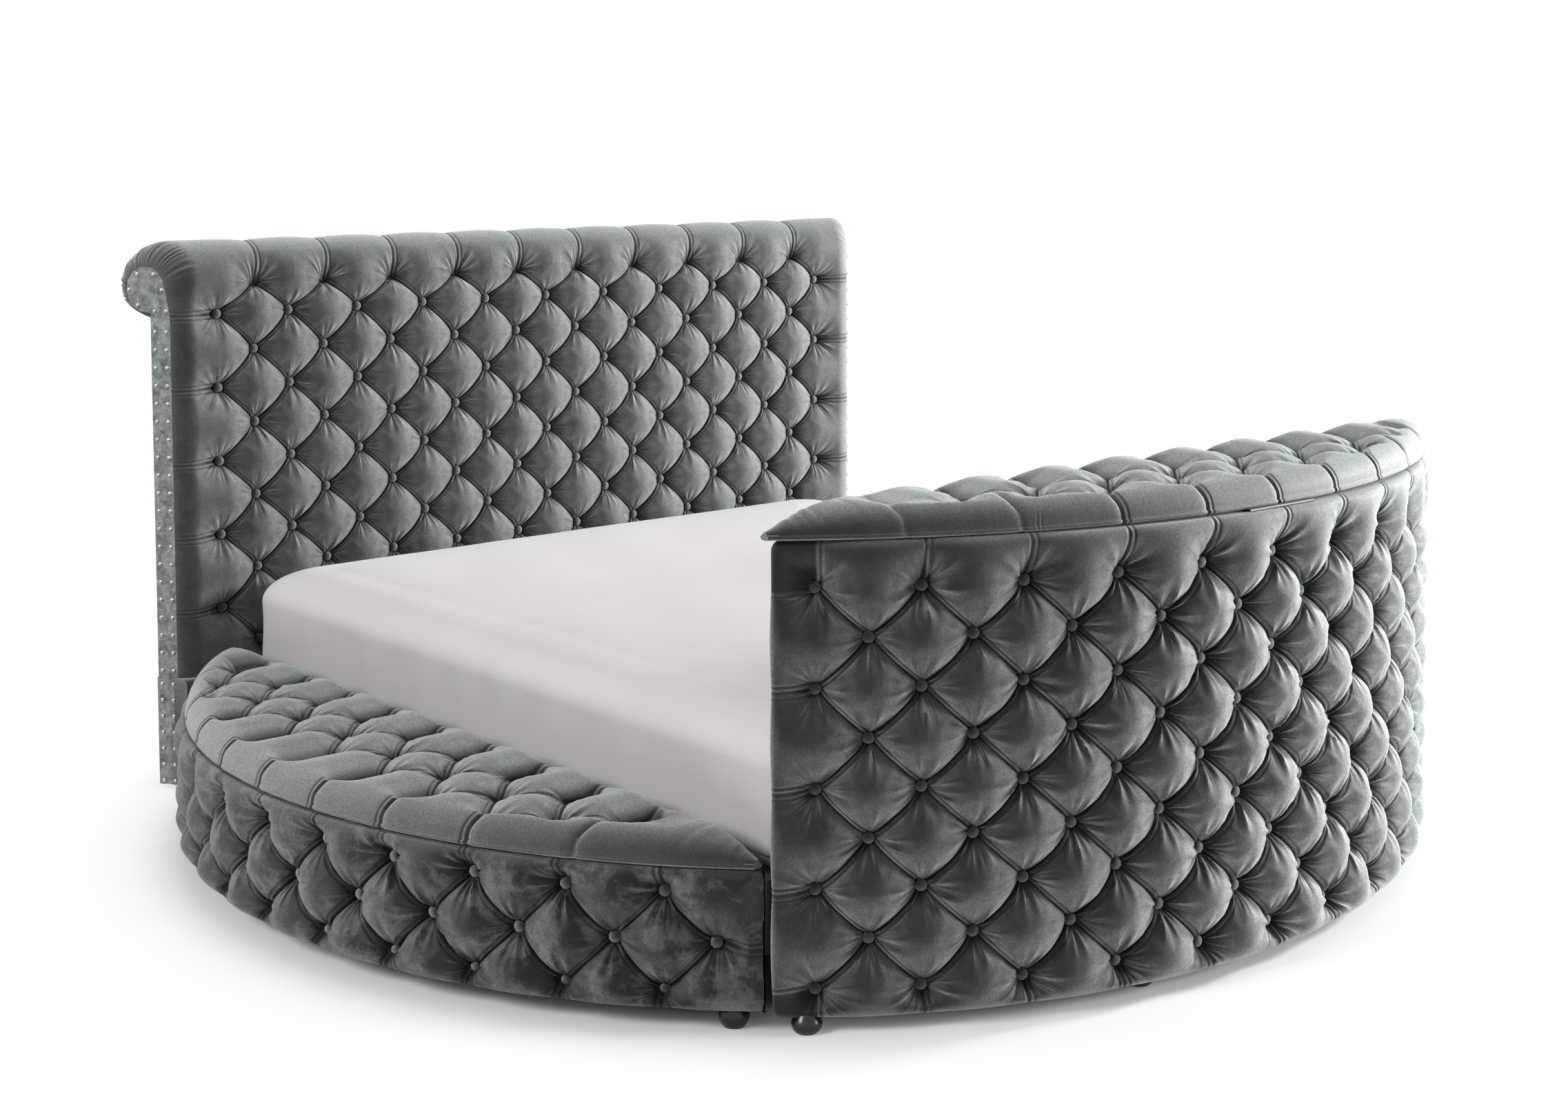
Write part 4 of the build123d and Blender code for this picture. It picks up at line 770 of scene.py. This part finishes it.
def lid_cover(name, place, half, bulge, board_low, board_high, salt):
    """A lid's cushion in its cover: straight on the mattress side, an arc outside."""
    tufts = bpy.context.scene.bed_tufts
    step, row = LID_PATTERN[3:]
    half, low_z = half + 0.002, board_low + 0.0004
    tip, rows_across = (half - TIP_CUT) / step, bulge / row
    whole = math.floor(tip)
    u = lattice_samples(-whole, whole, tip - whole, tip - whole)
    v = np.append(np.arange(0, int(rows_across * CELLS) + 1) / CELLS, rows_across) - 1.0
    along, lattice = np.meshgrid(u * step, v, indexing="ij")
    # Rows run straight beside the mattress and close up towards the outer edge
    flat_out = (lattice + 1.0) * row
    width = np.maximum(lid_width(along, half, bulge), TIP_WIDTH)
    bend = np.maximum(width - 0.055, width * 0.35)
    room = width - bend
    squeeze = (1.0 - np.exp(-(flat_out - bend) / room)) / (1.0 - np.exp(-(bulge - bend) / room))
    out = np.minimum(np.where(flat_out <= bend, flat_out, bend + room * squeeze), width)
    from_edge = width - out
    over_inner, over_outer = rounded(out / INNER_ROUND), rounded(from_edge / OUTER_ROUND)
    crown = over_inner * over_outer
    tall = (board_high + LID_OVER - low_z) * (0.20 + 0.80 * rounded(width / 0.20))

    live = smooth((from_edge - 0.030) / 0.045) * smooth(out / 0.05) * smooth((width - 0.12) / 0.10)
    across_u, across_v = along / step, out / row - 1.0
    vc = np.clip(across_v, 0.0, 2.0)
    height, folds = tufted(across_u, vc, LID_PATTERN, salt, fan=0.8)
    dip = (1.0 - height) * live
    read = cloth_marks(across_u, vc, LID_PATTERN, 1.0 - dip)
    # Fold lines show on the tufts and where the cloth is pulled over the long edges
    pulled = np.abs(across_u) < PULLED
    over, beside = smooth((across_v - 1.6) / 0.4) * pulled, smooth((0.4 - across_v) / 0.4) * pulled
    read[..., 5] *= live
    read[..., 6] = np.maximum.reduce([live, over, beside])
    # Pleats from the inner row to the straight edge and from the outer rows over the round one
    even = np.abs(across_u - 2.0 * np.round(across_u / 2.0)) * step
    inner_pleat = np.exp(-even / 0.009) * smooth((0.2 - across_v) / 0.8) * pulled
    outer_pleat = np.exp(-even / 0.006) * smooth((0.10 - from_edge) / 0.07)
    outer_pleat *= np.abs(across_u) < PLEATED
    # Small gathers at the tips
    gathers = np.sin(along * 260.0 + np.sin(along * 61.0) * 2.0) + np.sin(along * 143.0 + 1.0)
    gathers = gathers * 0.5 * smooth((0.16 - width) / 0.12) * 0.0022
    top = low_z + LID_SIDE + (tall - LID_SIDE) * crown
    top = top - tufts.lid_depth * dip - INNER_PLEAT * inner_pleat * over_inner
    top = top - OUTER_PLEAT * outer_pleat * over_outer
    top = top + (tufts.fan_height * folds * live + gathers) * crown
    out = out - PINCH * outer_pleat * (1.0 - over_outer)

    def section(places, outs, heights):
        return np.stack(place(*np.broadcast_arrays(places, outs, heights)), -1)

    ends, first, last, edge = along[:, :1], top[:, :1], top[:, -1:], out[:, -1:]
    sides = [(s, 0.004 * math.sin(s * math.pi)) for s in np.linspace(0.0, 1.0, 6)[1:-1]]
    inner = [section(ends, -0.0015 - b, low_z + (first - low_z) * s) for s, b in sides]
    outer = [section(ends, edge + b, low_z + (last - low_z) * (1.0 - s)) for s, b in sides]
    loops = np.concatenate([
        section(ends, 0.0, low_z), *inner, section(along, out, top), *outer,
        section(ends, edge - 0.001, low_z)], 1)
    before, after = 1 + len(inner), len(outer) + 1
    turned = np.pad(turned_cells(u, v, 0), ((0, 0), (before, after + 1)))
    read = np.pad(read, ((0, 0), (before, after), (0, 0)), "edge")
    read[:, [0, -1], 6] = 0.0
    return shell(name, loops, finish_of("tufted_velvet"), turned, marks=read)


class BED_OT_lids(bpy.types.Operator):
    """Tufted lids of the benches and of the foot section"""

    bl_idname = "bed.lids"
    bl_label = "Lids"

    def execute(self, context):
        low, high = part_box("bench_lid_cushion_right")
        for side, word in SIDES:
            def beside(along, out, height, side=side):
                return side * (low.x + out), along, height

            cover = lid_cover(f"bench_lid_cover_{word}", beside, high.y, high.x - low.x, BENCH_LID_LOW.z,
                              BENCH_LID_HIGH.z, 5.0 + side)
            settle(cover, f"bench_lid_{word}", "velvet", f"bench_lid_cushion_{word}",
                   f"bench_lid_board_{word}", f"bench_lid_buttons_{word}", fill=0.8)
        foot_low, foot_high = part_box("foot_lid_cushion")

        def before(along, out, height):
            return along, foot_high.y - out, height

        cover = lid_cover("foot_lid_cover", before, foot_high.x, foot_high.y - foot_low.y,
                          FOOT_LID_LOW.z, FOOT_LID_HIGH.z, 8.0)
        settle(cover, "foot_lid", "velvet", "foot_lid_cushion", "foot_lid_board", "foot_lid_buttons",
               fill=0.8)
        return {"FINISHED"}


# Headboard

HEAD_COLUMNS, HEAD_ROWS, HEAD_PARITY, HEAD_STEP = (-10, 10), 11, 1, 0.09685
HEAD_TOP_ROW = 1.264                        # height of the top row of buttons
ROLL_ROWS, ROLL_LOOPS = 4.4, 160            # rows and loops over the roll
CREST_Y, BACK_Y = HEAD_LOW.y, PANEL_HIGH.y
ROLL_DEEP, ROLL_TALL, ROLL_Z = 0.084, 0.099, 1.257          # half depth, half height, middle
RIM_DEEP, RIM_TALL = 0.043, 0.057           # ring of the scroll on the end faces
SCROLL_Y, SCROLL_Z = CREST_Y + ROLL_DEEP, 1.237             # middle of that ring
ROLL_STOP, TAIL_TURN = math.radians(246.0), math.radians(31.0)
TAIL_Z = 1.1555                             # where the roll's tail meets the back cover
TRIM_FRONT_Y, END_FRONT_X = CREST_Y + 0.031, 1.095          # front edge of an end face
CORE_Y, CORE_TOP = CREST_Y + 0.051, 1.1895  # front and top of the boards behind the pad
BORDER_ROUND, ROLL_MORE = 0.36, 0.06        # rounded share of an end border, and more on the roll
GATHER_HEIGHT = 0.0024                      # of the gathers round a scroll
BUTTON_IN = 0.007                           # a button's middle, out from the deepest cloth
STRIP_RECESS = 0.0084                       # how far the end faces lie under their strips


def head_paths(samples):
    """Crest and rim of the headboard's section, for rows from the seam up and over the roll."""
    start = math.asin((HEAD_TOP_ROW - ROLL_Z) / ROLL_TALL)
    turn = start + (ROLL_STOP - start) * np.clip(-samples / -samples.min(), 0, 1)
    straight = HEAD_TOP_ROW - np.maximum(samples, 0) * ROW
    on_roll = samples < 0
    crest_y = np.where(on_roll, SCROLL_Y - ROLL_DEEP * np.cos(turn), CREST_Y)
    crest_z = np.where(on_roll, ROLL_Z + ROLL_TALL * np.sin(turn), straight)
    tail = smooth((turn - (ROLL_STOP - TAIL_TURN)) / TAIL_TURN) * on_roll
    crest_y = crest_y + tail * (BACK_Y + 0.002 - (SCROLL_Y - ROLL_DEEP * math.cos(ROLL_STOP)))
    crest_z = crest_z + tail * (TAIL_Z - (ROLL_Z + ROLL_TALL * math.sin(ROLL_STOP)))
    rim_turn = np.clip(turn * 0.98 - math.radians(1.0), 0, None)
    ease = smooth((HEAD_TOP_ROW - crest_z - 0.02) / 0.06) * ~on_roll
    scroll_front = SCROLL_Y - RIM_DEEP * math.cos(math.radians(12.0))
    rim_y = np.where(on_roll, SCROLL_Y - RIM_DEEP * np.cos(rim_turn), scroll_front)
    rim_y = rim_y * (1 - ease) + TRIM_FRONT_Y * ease
    rim_z = np.where(on_roll, SCROLL_Z + RIM_TALL * np.sin(rim_turn), crest_z - 0.02 * (1 - ease))
    return np.stack([crest_y, crest_z], -1), np.stack([rim_y, rim_z], -1)


def head_x(u, y, inset=0.0):
    """Places across the headboard: on the lattice, then out to its flared end faces."""
    past = np.clip(np.abs(u) - 10, 0, 1)
    end_x = END_FRONT_X + (y - TRIM_FRONT_Y) * FLARE - inset
    return np.clip(u, -10, 10) * HEAD_STEP + np.sign(u) * past * (end_x - 10 * HEAD_STEP)


class BED_OT_headboard(bpy.types.Operator):
    """Tufted headboard cover with its rolled top, end borders and buttons"""

    bl_idname = "bed.headboard"
    bl_label = "Headboard"

    def execute(self, context):
        tufts = context.scene.bed_tufts
        low_z, last = HEAD_LOW.z, HEAD_ROWS - 1
        over = -ROLL_ROWS * np.linspace(1.0, 0.0, ROLL_LOOPS + 1)[:-1]
        down = np.linspace(0, last, last * CELLS + 1)
        ease = np.sin(np.linspace(0.0, 1.0, CELLS // 2 + 1)[1:] * math.pi / 2)
        v = np.concatenate([over, down, last + (HEAD_TOP_ROW - last * ROW - low_z) / ROW * ease])
        u = lattice_samples(*HEAD_COLUMNS, END_SPAN, END_SPAN, CELLS + 8)
        grid_u, grid_v = np.meshgrid(u, v, indexing="ij")
        flat_v = np.maximum(grid_v, -1.0)
        pattern = (HEAD_COLUMNS, HEAD_ROWS, HEAD_PARITY, HEAD_STEP, ROW)
        height, folds = tufted(grid_u, flat_v, pattern, 11.0, fan=0.7, swell=0.12)
        read = cloth_marks(grid_u, flat_v, pattern, height)
        depth = tufts.head_depth * (1.0 - height) - 0.6 * tufts.fan_height * folds
        from_seam = HEAD_TOP_ROW - grid_v * ROW - low_z
        depth = depth + 0.012 * (1.0 - rounded(from_seam / 0.016)) * (grid_v > 1)
        crest, rim = head_paths(v)
        way = rim - crest
        reach = np.hypot(way[:, 0], way[:, 1])
        way = way / reach[:, None]
        # The end borders turn in from the crest to the rim, with gathers round the scroll
        past = np.clip(np.abs(grid_u) - 10.0, 0, 1)
        over_edge = rounded((1.0 - past) / (BORDER_ROUND + ROLL_MORE * smooth(-grid_v / 0.8)))
        gather = np.sin(grid_v * 40.0 + 2.2 * np.sin(grid_v * 7.3)) * (0.6 + 0.4 * np.sin(grid_v * 11.7))
        gather = gather * smooth(-grid_v / 0.3) * smooth((past - 0.55) / 0.3) * (past < 0.999)
        inset = depth * over_edge + reach[None, :] * (1.0 - over_edge) + GATHER_HEIGHT * (gather + 0.6)
        y = crest[None, :, 0] + way[None, :, 0] * inset
        z = crest[None, :, 1] + way[None, :, 1] * inset
        closing = [(CORE_Y, low_z), (CORE_Y, CORE_TOP), (BACK_Y, CORE_TOP)]
        back = np.stack([np.stack([head_x(u, cy, 0.010), np.full_like(u, cy), np.full_like(u, cz)], -1)
                         for cy, cz in closing], 1)
        loops = np.concatenate([np.stack([head_x(grid_u, y), y, z], -1), back], 1)
        recess = STRIP_RECESS / math.cos(FLARE_ANGLE)
        loops = np.pad(loops, ((1, 1), (0, 0), (0, 0)), "edge")
        loops[0, :, 0] += recess
        loops[-1, :, 0] -= recess
        read = np.pad(read, ((1, 1), (0, len(closing)), (0, 0)), "edge")
        turned = np.pad(turned_cells(u, v, HEAD_PARITY), ((1, 1), (0, 1 + len(closing))))
        cover = shell("headboard_cover", loops, finish_of("tufted_velvet"), turned, marks=read)
        settle(cover, "bed", "velvet", "headboard_pad", fill=0.85)

        def seat(column, row):
            y = CREST_Y + tufts.head_depth - BUTTON_IN
            return (column * HEAD_STEP, y, HEAD_TOP_ROW - row * ROW), (0.0, -1.0, 0.0)

        sew_buttons("headboard_face_buttons", lattice_seats(pattern, seat), "headboard_buttons")
        return {"FINISHED"}


class BED_OT_lower_panel(bpy.types.Operator):
    """Plain covered panel under the headboard's seam"""

    bl_idname = "bed.lower_panel"
    bl_label = "Lower panel"

    def execute(self, context):
        low, high, corner = PANEL_LOW, PANEL_HIGH, 0.010
        bends = [(corner * (1 - math.sin(t)), corner * (1 - math.cos(t)))
                 for t in np.linspace(0, math.pi / 2, 7)]
        profile = [(low.y + a, low.z + b) for a, b in bends]
        profile += [(low.y + b, high.z - a) for a, b in bends]
        profile = np.array(profile + [(high.y, high.z), (high.y, low.z)])
        deep = profile[:, 0]
        # Rounded to the front strip, then along the flare, under the end strips
        front = np.maximum(TRIM_FRONT_Y - deep, 0.0)
        end_x = END_FRONT_X + 0.003 + (np.maximum(deep, TRIM_FRONT_Y) - TRIM_FRONT_Y) * FLARE
        end_x = end_x - 0.012 * (1.0 - np.sqrt(np.maximum(1.0 - (front / 0.034) ** 2, 0.0)))
        end_x = end_x - np.where(deep > TRIM_FRONT_Y, 0.0099, 0.0)
        x = np.linspace(-1.0, 1.0, 161)[:, None] * end_x[None, :]
        wave = 0.0012 * np.sin(x * 9.0 + profile[None, :, 1] * 21.0) + 0.0008 * np.sin(x * 23.0 + 2.0)
        y = deep + np.where(deep < low.y + 0.012, wave, 0.0)
        z = np.broadcast_to(profile[:, 1], x.shape)
        piece = shell("headboard_lower_cover", np.stack([x, y, z], -1), finish_of("cut_velvet"),
                      soft_angle=40.0)
        settle(piece, "bed", "velvet", "headboard_lower_panel", fill=0.3)
        return {"FINISHED"}


class BED_OT_trim_nails(bpy.types.Operator):
    """Domed nails down the end strips and round the scrolls"""

    bl_idname = "bed.trim_nails"
    bl_label = "Trim nails"

    def execute(self, context):
        tufts = context.scene.bed_tufts
        strip = (BACK_Y - TRIM_FRONT_Y) / math.cos(FLARE_ANGLE)
        middle = (SCROLL_Y - TRIM_FRONT_Y) / math.cos(FLARE_ANGLE)
        # The lower strip stands out past the upper one; rows of nails follow both edges, and one ring
        lower_out, edge, ring = 0.003 * math.cos(FLARE_ANGLE), 0.011, 0.044
        spots = []
        for out in (edge, strip - edge):
            spots += [(out, z, 0.0) for z in np.linspace(0.295, 1.134, 20)]
            spots += [(out, z, lower_out) for z in np.linspace(0.019, 0.262, 7)]
            spots.append((out, 1.185, 0.0))
        for turn in range(5):
            angle = math.radians(60.0 * turn - 60.0)
            spots.append((middle + ring * math.cos(angle), SCROLL_Z + ring * math.sin(angle), 0.0))
        seats = []
        for side in (-1, 1):
            aim = (side * math.cos(FLARE_ANGLE), -math.sin(FLARE_ANGLE), 0.0)
            for out, height, lift in spots:
                x = side * (END_FRONT_X + out * math.sin(FLARE_ANGLE)) + aim[0] * lift
                y = TRIM_FRONT_Y + out * math.cos(FLARE_ANGLE) + aim[1] * lift
                seats.append(((x, y, height), aim))
        nails = domes("trim_nail_heads", seats, tufts.nail_radius, tufts.nail_height,
                      finish_of("nail_nickel"))
        settle(nails, "bed", "nail_chrome", "trim_nails")
        return {"FINISHED"}


# Bedding

AROUND = 720                    # vertices round the sheet
CORNER = 0.090                  # round of the mattress's corners in plan
SHOULDER, CROWN = 0.60, 0.09    # shares of the height: upright side, dome of the top
BEND = 0.150                    # from the side to the start of the crown
MIDDLE = 0.905                  # inset of the last loop, by the long middle line
HEM = 0.020                     # height of the sheet's hem above the mattress's underside
SHEET_UP, SHEET_OUT, SHEET_THICK = 0.0052, 0.0055, 0.0008   # from the mattress, and its own


def round_loop(half_x, half_y, corner, around):
    """A closed loop round a rectangle with rounded corners, evenly spread."""
    corner = min(corner, half_x - 0.001, half_y - 0.001)
    straight_x, straight_y = 2 * (half_x - corner), 2 * (half_y - corner)
    bend = corner * math.pi / 2
    lengths = [straight_y, bend, straight_x, bend] * 2
    total = sum(lengths)
    found = []
    for distance in np.arange(around) / around * total:
        leg = 0
        while distance > lengths[leg]:
            distance -= lengths[leg]
            leg += 1
        quarter = leg // 2
        if leg % 2 == 0:
            run = distance - lengths[leg] / 2
            found.append([(half_x, run), (-run, half_y), (-half_x, -run), (run, -half_y)][quarter])
        else:
            turn = math.pi / 2 * (quarter + distance / bend)
            cx, cy = [(1, 1), (-1, 1), (-1, -1), (1, -1)][quarter]
            found.append((cx * (half_x - corner) + corner * math.cos(turn),
                          cy * (half_y - corner) + corner * math.sin(turn)))
    return np.array(found)


def bedding_loops(levels, around):
    """Loops of the mattress's shape: (height, inset) in metres."""
    centre_y = (MATTRESS_LOW.y + MATTRESS_HIGH.y) / 2
    half_x = (MATTRESS_HIGH.x - MATTRESS_LOW.x) / 2
    half_y = (MATTRESS_HIGH.y - MATTRESS_LOW.y) / 2
    loops = []
    for height, inset in levels:
        ring = round_loop(half_x - inset, half_y - inset, max(CORNER - inset * 0.3, 0.004), around)
        loops.append(np.column_stack([ring[:, 0], ring[:, 1] + centre_y, np.full(around, height)]))
    return np.array(loops)


def lay_waves(loops, high):
    """Move loops of the sheet: slow waves on top, small folds down the sides."""
    x, y = loops[..., 0], loops[..., 1]
    edge = np.minimum(0.915 - np.abs(x), 1.063 - np.abs(y - 0.003))
    wave = 0.0016 * np.sin(x * 5.0 + y * 7.5 + 1.5 * np.sin(y * 3.0))
    wave += 0.0011 * np.sin(x * 13.0 - y * 8.0 + 2.0 * np.sin(x * 4.0 + 1.0))
    loops[..., 2] += wave * smooth(edge / 0.25)
    down = smooth((high - 0.06 - loops[..., 2]) / 0.12)
    fold = np.sin((x * 0.8 + y) * 26.0 + 3.0 * np.sin(y * 4.0)) * 0.0022 * down
    fold += np.sin((x + y * 0.7) * 61.0) * 0.0008 * down
    loops[..., 0] += np.sign(x) * fold * (np.abs(x) > 0.80)
    loops[..., 1] += np.sign(y) * fold * (np.abs(y) > 0.95)


class BED_OT_bedding(bpy.types.Operator):
    """Mattress and fitted sheet"""

    bl_idname = "bed.bedding"
    bl_label = "Bedding"

    def execute(self, context):
        low, high = MATTRESS_LOW.z, MATTRESS_HIGH.z
        tall = high - low
        outline = [(low + tall * s, 0.010 * (1 - rounded(s / 0.15)) + 0.004 * math.sin(s * math.pi) ** 2)
                   for s in np.linspace(0.0, SHOULDER, 22)]
        for t in np.linspace(0.0, math.pi / 2, 22)[1:-1]:
            height = low + tall * (SHOULDER + 0.31 * math.sin(t) ** 0.9)
            outline.append((height, BEND * (1 - math.cos(t)) + 0.003))
        outline += [(high - tall * CROWN * (1 - np.clip((i - BEND) / 0.45, 0, 1) ** 0.8) ** 2, i)
                    for i in np.linspace(BEND + 0.004, MIDDLE, 60)]
        mattress = shell("mattress_block", bedding_loops([(low, 0.030)] + outline, AROUND // 3),
                         finish_of("woven_ticking"))
        settle(mattress, "bed", "ticking", "mattress", fill=1.0)

        outer = [(h + SHEET_UP, i - SHEET_OUT) for h, i in outline if h >= low + HEM]
        outside = bedding_loops(outer, AROUND)
        inside = bedding_loops([(h - SHEET_THICK, i + SHEET_THICK) for h, i in outer], AROUND)
        for loops in (outside, inside):
            lay_waves(loops, high)
        count = len(outside)
        points = np.concatenate([outside.reshape(-1, 3), inside.reshape(-1, 3)])
        shift = count * AROUND
        skin = loop_triangles(count, AROUND)
        top = cap_triangles(points, shift - AROUND, AROUND, True)
        under = cap_triangles(points, 2 * shift - AROUND, AROUND, True)
        ring = np.arange(AROUND)
        following = np.roll(ring, -1)
        rim = np.concatenate([np.stack([ring, ring + shift, following], -1),
                              np.stack([following, ring + shift, following + shift], -1)])
        triangles = np.concatenate([skin, top, (skin + shift)[:, ::-1], under[:, ::-1], rim])
        sheet = new_piece("fitted_sheet_cotton", points, triangles, finish_of("cotton_percale"))
        settle(sheet, "bed", "cotton_sheet", "fitted_sheet")
        return {"FINISHED"}


# Finishes of the nodes that keep the CAD's shape; {} stands for left and right
FINISHES = {
    "cut_velvet": "foot_inner_cover headboard_back_cover",
    "trim_velvet": "headboard_trim_{} headboard_lower_trims",
    "birch_plywood": "headboard_core foot_lid_board bench_lid_board_{}",
    "pine_board": "centre_beam",
    "lacquered_foot": "feet centre_legs",
    "dust_cover": "side_rails slats foot_floor foot_inner_wall foot_outer_wall bench_floor_{} "
                  "bench_inner_wall_{} bench_outer_wall_{}",
    "zinc_plate": "bench_hinge_leaves bench_hinge_pins bench_lid_hinge_leaves_{} connector_bolts "
                  "corner_brackets headboard_joining_plates lift_spindle",
    "powder_coat": "lift_column lift_middle_tube lift_inner_tube screen_bracket lift_motor",
    "gunmetal": "foot_hinge_leaf foot_hinge_pin foot_lid_hinge_leaf",
    "brass_nut": "lift_nut",
    "moulded_plastic": "lift_control_box",
}


class BED_OT_finishes(bpy.types.Operator):
    """Finishes of the frame, hardware and lift"""

    bl_idname = "bed.finishes"
    bl_label = "Finishes"

    def execute(self, context):
        for key, names in FINISHES.items():
            for name in dict.fromkeys(n.format(word) for n in names.split() for side, word in SIDES):
                for place in frame["nodes"][name].material_slots:
                    place.material = finish_of(key)
        return {"FINISHED"}


# Stage

FLOOR_REACH = 30.0                          # from the middle to the floor's edges
WHITE = (1.0, 1.0, 1.0, 1.0)
WHITE_FROM, WHITE_AT = 1.30, 1.75           # distances from the middle over which the floor turns white
CAMERA_PLACE = (-3.4972, -4.1701, 1.6304)   # fitted to the photo's button grids, as the next two are
CAMERA_YAW, CAMERA_PITCH = math.radians(41.682), math.radians(4.150)
CAMERA_SHIFT = (-0.0555, -0.170)
LAMPS = (                                   # name, place, what it points at, size, setting of its power
    ("key", (5.9, -2.9, 2.5), (0.0, 0.0, 0.6), 1.1, "key_power"),
    ("front", (3.9, -5.8, 2.0), (0.2, -0.6, 0.5), 1.6, "front_power"),
    ("side", (-5.4, -0.4, 3.0), (0.0, 0.0, 0.4), 1.8, "fill_power"),
    ("top", (-0.6, 0.2, 4.6), (-0.3, 0.0, 0.0), 2.2, "top_power"),
)


def seen_directly(tree):
    """1 for camera, glossy and transmission rays, else 0."""
    path = add_node(tree, "ShaderNodeLightPath").outputs
    direct = maths(tree, "MAXIMUM", path["Is Camera Ray"], path["Is Glossy Ray"])
    return maths(tree, "MAXIMUM", direct, path["Is Transmission Ray"])


class BED_OT_stage(bpy.types.Operator):
    """Pale floor, soft lamps and the camera"""

    bl_idname = "bed.stage"
    bl_label = "Stage"

    def execute(self, context):
        stage = context.scene.bed_stage
        mesh = bpy.data.meshes.new("floor")
        r = FLOOR_REACH
        mesh.from_pydata([(-r, -r, 0), (r, -r, 0), (r, r, 0), (-r, r, 0)], [], [(0, 1, 2, 3)])
        floor = stand("floor", mesh)
        material, tree, shader = new_material("studio_floor", {
            "Base Color": linear(context.scene.bed_colours.floor), "Roughness": 0.9,
            "Specular IOR Level": 0.0})
        # The backdrop's white takes over away from the bed, for the eye alone
        spot = add_node(tree, "ShaderNodeNewGeometry").outputs["Position"]
        away = maths(tree, "LENGTH", spot, kind="ShaderNodeVectorMath").outputs["Value"]
        fade = add_node(tree, "ShaderNodeMapRange", {
            "interpolation_type": "SMOOTHSTEP", 0: away, 1: WHITE_FROM, 2: WHITE_AT})
        share = maths(tree, "MULTIPLY", fade, seen_directly(tree))
        white = add_node(tree, "ShaderNodeEmission", {"Color": WHITE})
        both = add_node(tree, "ShaderNodeMixShader", {0: share, 1: shader, 2: white})
        final = next(node for node in tree.nodes if node.type == "OUTPUT_MATERIAL")
        tree.links.new(both.outputs[0], final.inputs["Surface"])
        mesh.materials.append(material)

        world = bpy.data.worlds.new("studio")
        context.scene.world = world
        world.use_nodes = True
        tree = world.node_tree
        tree.nodes.clear()
        level = map_range(tree, seen_directly(tree), 0.0, 1.0, stage.world_strength, 1.0)
        back = add_node(tree, "ShaderNodeBackground", {"Color": WHITE, "Strength": level})
        add_node(tree, "ShaderNodeOutputWorld", {"Surface": back})

        for name, place, aim, size, power in LAMPS:
            lamp = bpy.data.lights.new(name, "AREA")
            lamp.shape, lamp.size, lamp.energy = "DISK", size, getattr(stage, power)
            holder = stand(name, lamp)
            holder.location = place
            holder.rotation_euler = (Vector(aim) - Vector(place)).to_track_quat("-Z", "Y").to_euler()

        camera = bpy.data.cameras.new("camera")
        camera.sensor_width, camera.lens = 36.0, stage.lens
        camera.shift_x, camera.shift_y = CAMERA_SHIFT
        holder = stand("camera", camera)
        holder.location = CAMERA_PLACE
        holder.rotation_euler = (math.pi / 2 - CAMERA_PITCH, 0.0, -CAMERA_YAW)
        context.scene.camera = holder
        context.scene.view_settings.view_transform = "Standard"
        return {"FINISHED"}


class BED_PT_panel(bpy.types.Panel):
    """Steps that dress the bed"""

    bl_label = "Round Tufted Bed"
    bl_idname = "BED_PT_panel"
    bl_space_type = "VIEW_3D"
    bl_region_type = "UI"
    bl_category = "Bed"

    def draw(self, context):
        for step in STEPS:
            self.layout.operator(step.bl_idname)
        for name in GROUPS:
            group = getattr(context.scene, name)
            for key in group.bl_rna.properties.keys():
                if key not in ("name", "rna_type"):
                    self.layout.prop(group, key)


STEPS = (BED_OT_foot_face, BED_OT_bench_faces, BED_OT_lids, BED_OT_headboard, BED_OT_lower_panel,
         BED_OT_trim_nails, BED_OT_bedding, BED_OT_finishes, BED_OT_stage)
GROUPS = {"bed_tufts": BedTuftSettings, "bed_colours": BedColourSettings, "bed_stage": BedStageSettings}
CLASSES = (*GROUPS.values(), *STEPS, BED_PT_panel)


def register():
    """Add the settings, steps and panel."""
    for kind in CLASSES:
        bpy.utils.register_class(kind)
    for name, kind in GROUPS.items():
        setattr(bpy.types.Scene, name, bpy.props.PointerProperty(type=kind))


def unregister():
    """Take them away again."""
    for name in GROUPS:
        delattr(bpy.types.Scene, name)
    for kind in reversed(CLASSES):
        bpy.utils.unregister_class(kind)


def main():
    """Dress the whole bed."""
    register()
    bpy.ops.bed.stage()
    bpy.ops.bed.foot_face()
    bpy.ops.bed.bench_faces()
    bpy.ops.bed.lids()
    bpy.ops.bed.headboard()
    bpy.ops.bed.lower_panel()
    bpy.ops.bed.trim_nails()
    bpy.ops.bed.bedding()
    bpy.ops.bed.finishes()
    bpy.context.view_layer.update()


if __name__ == "__main__":
    main()
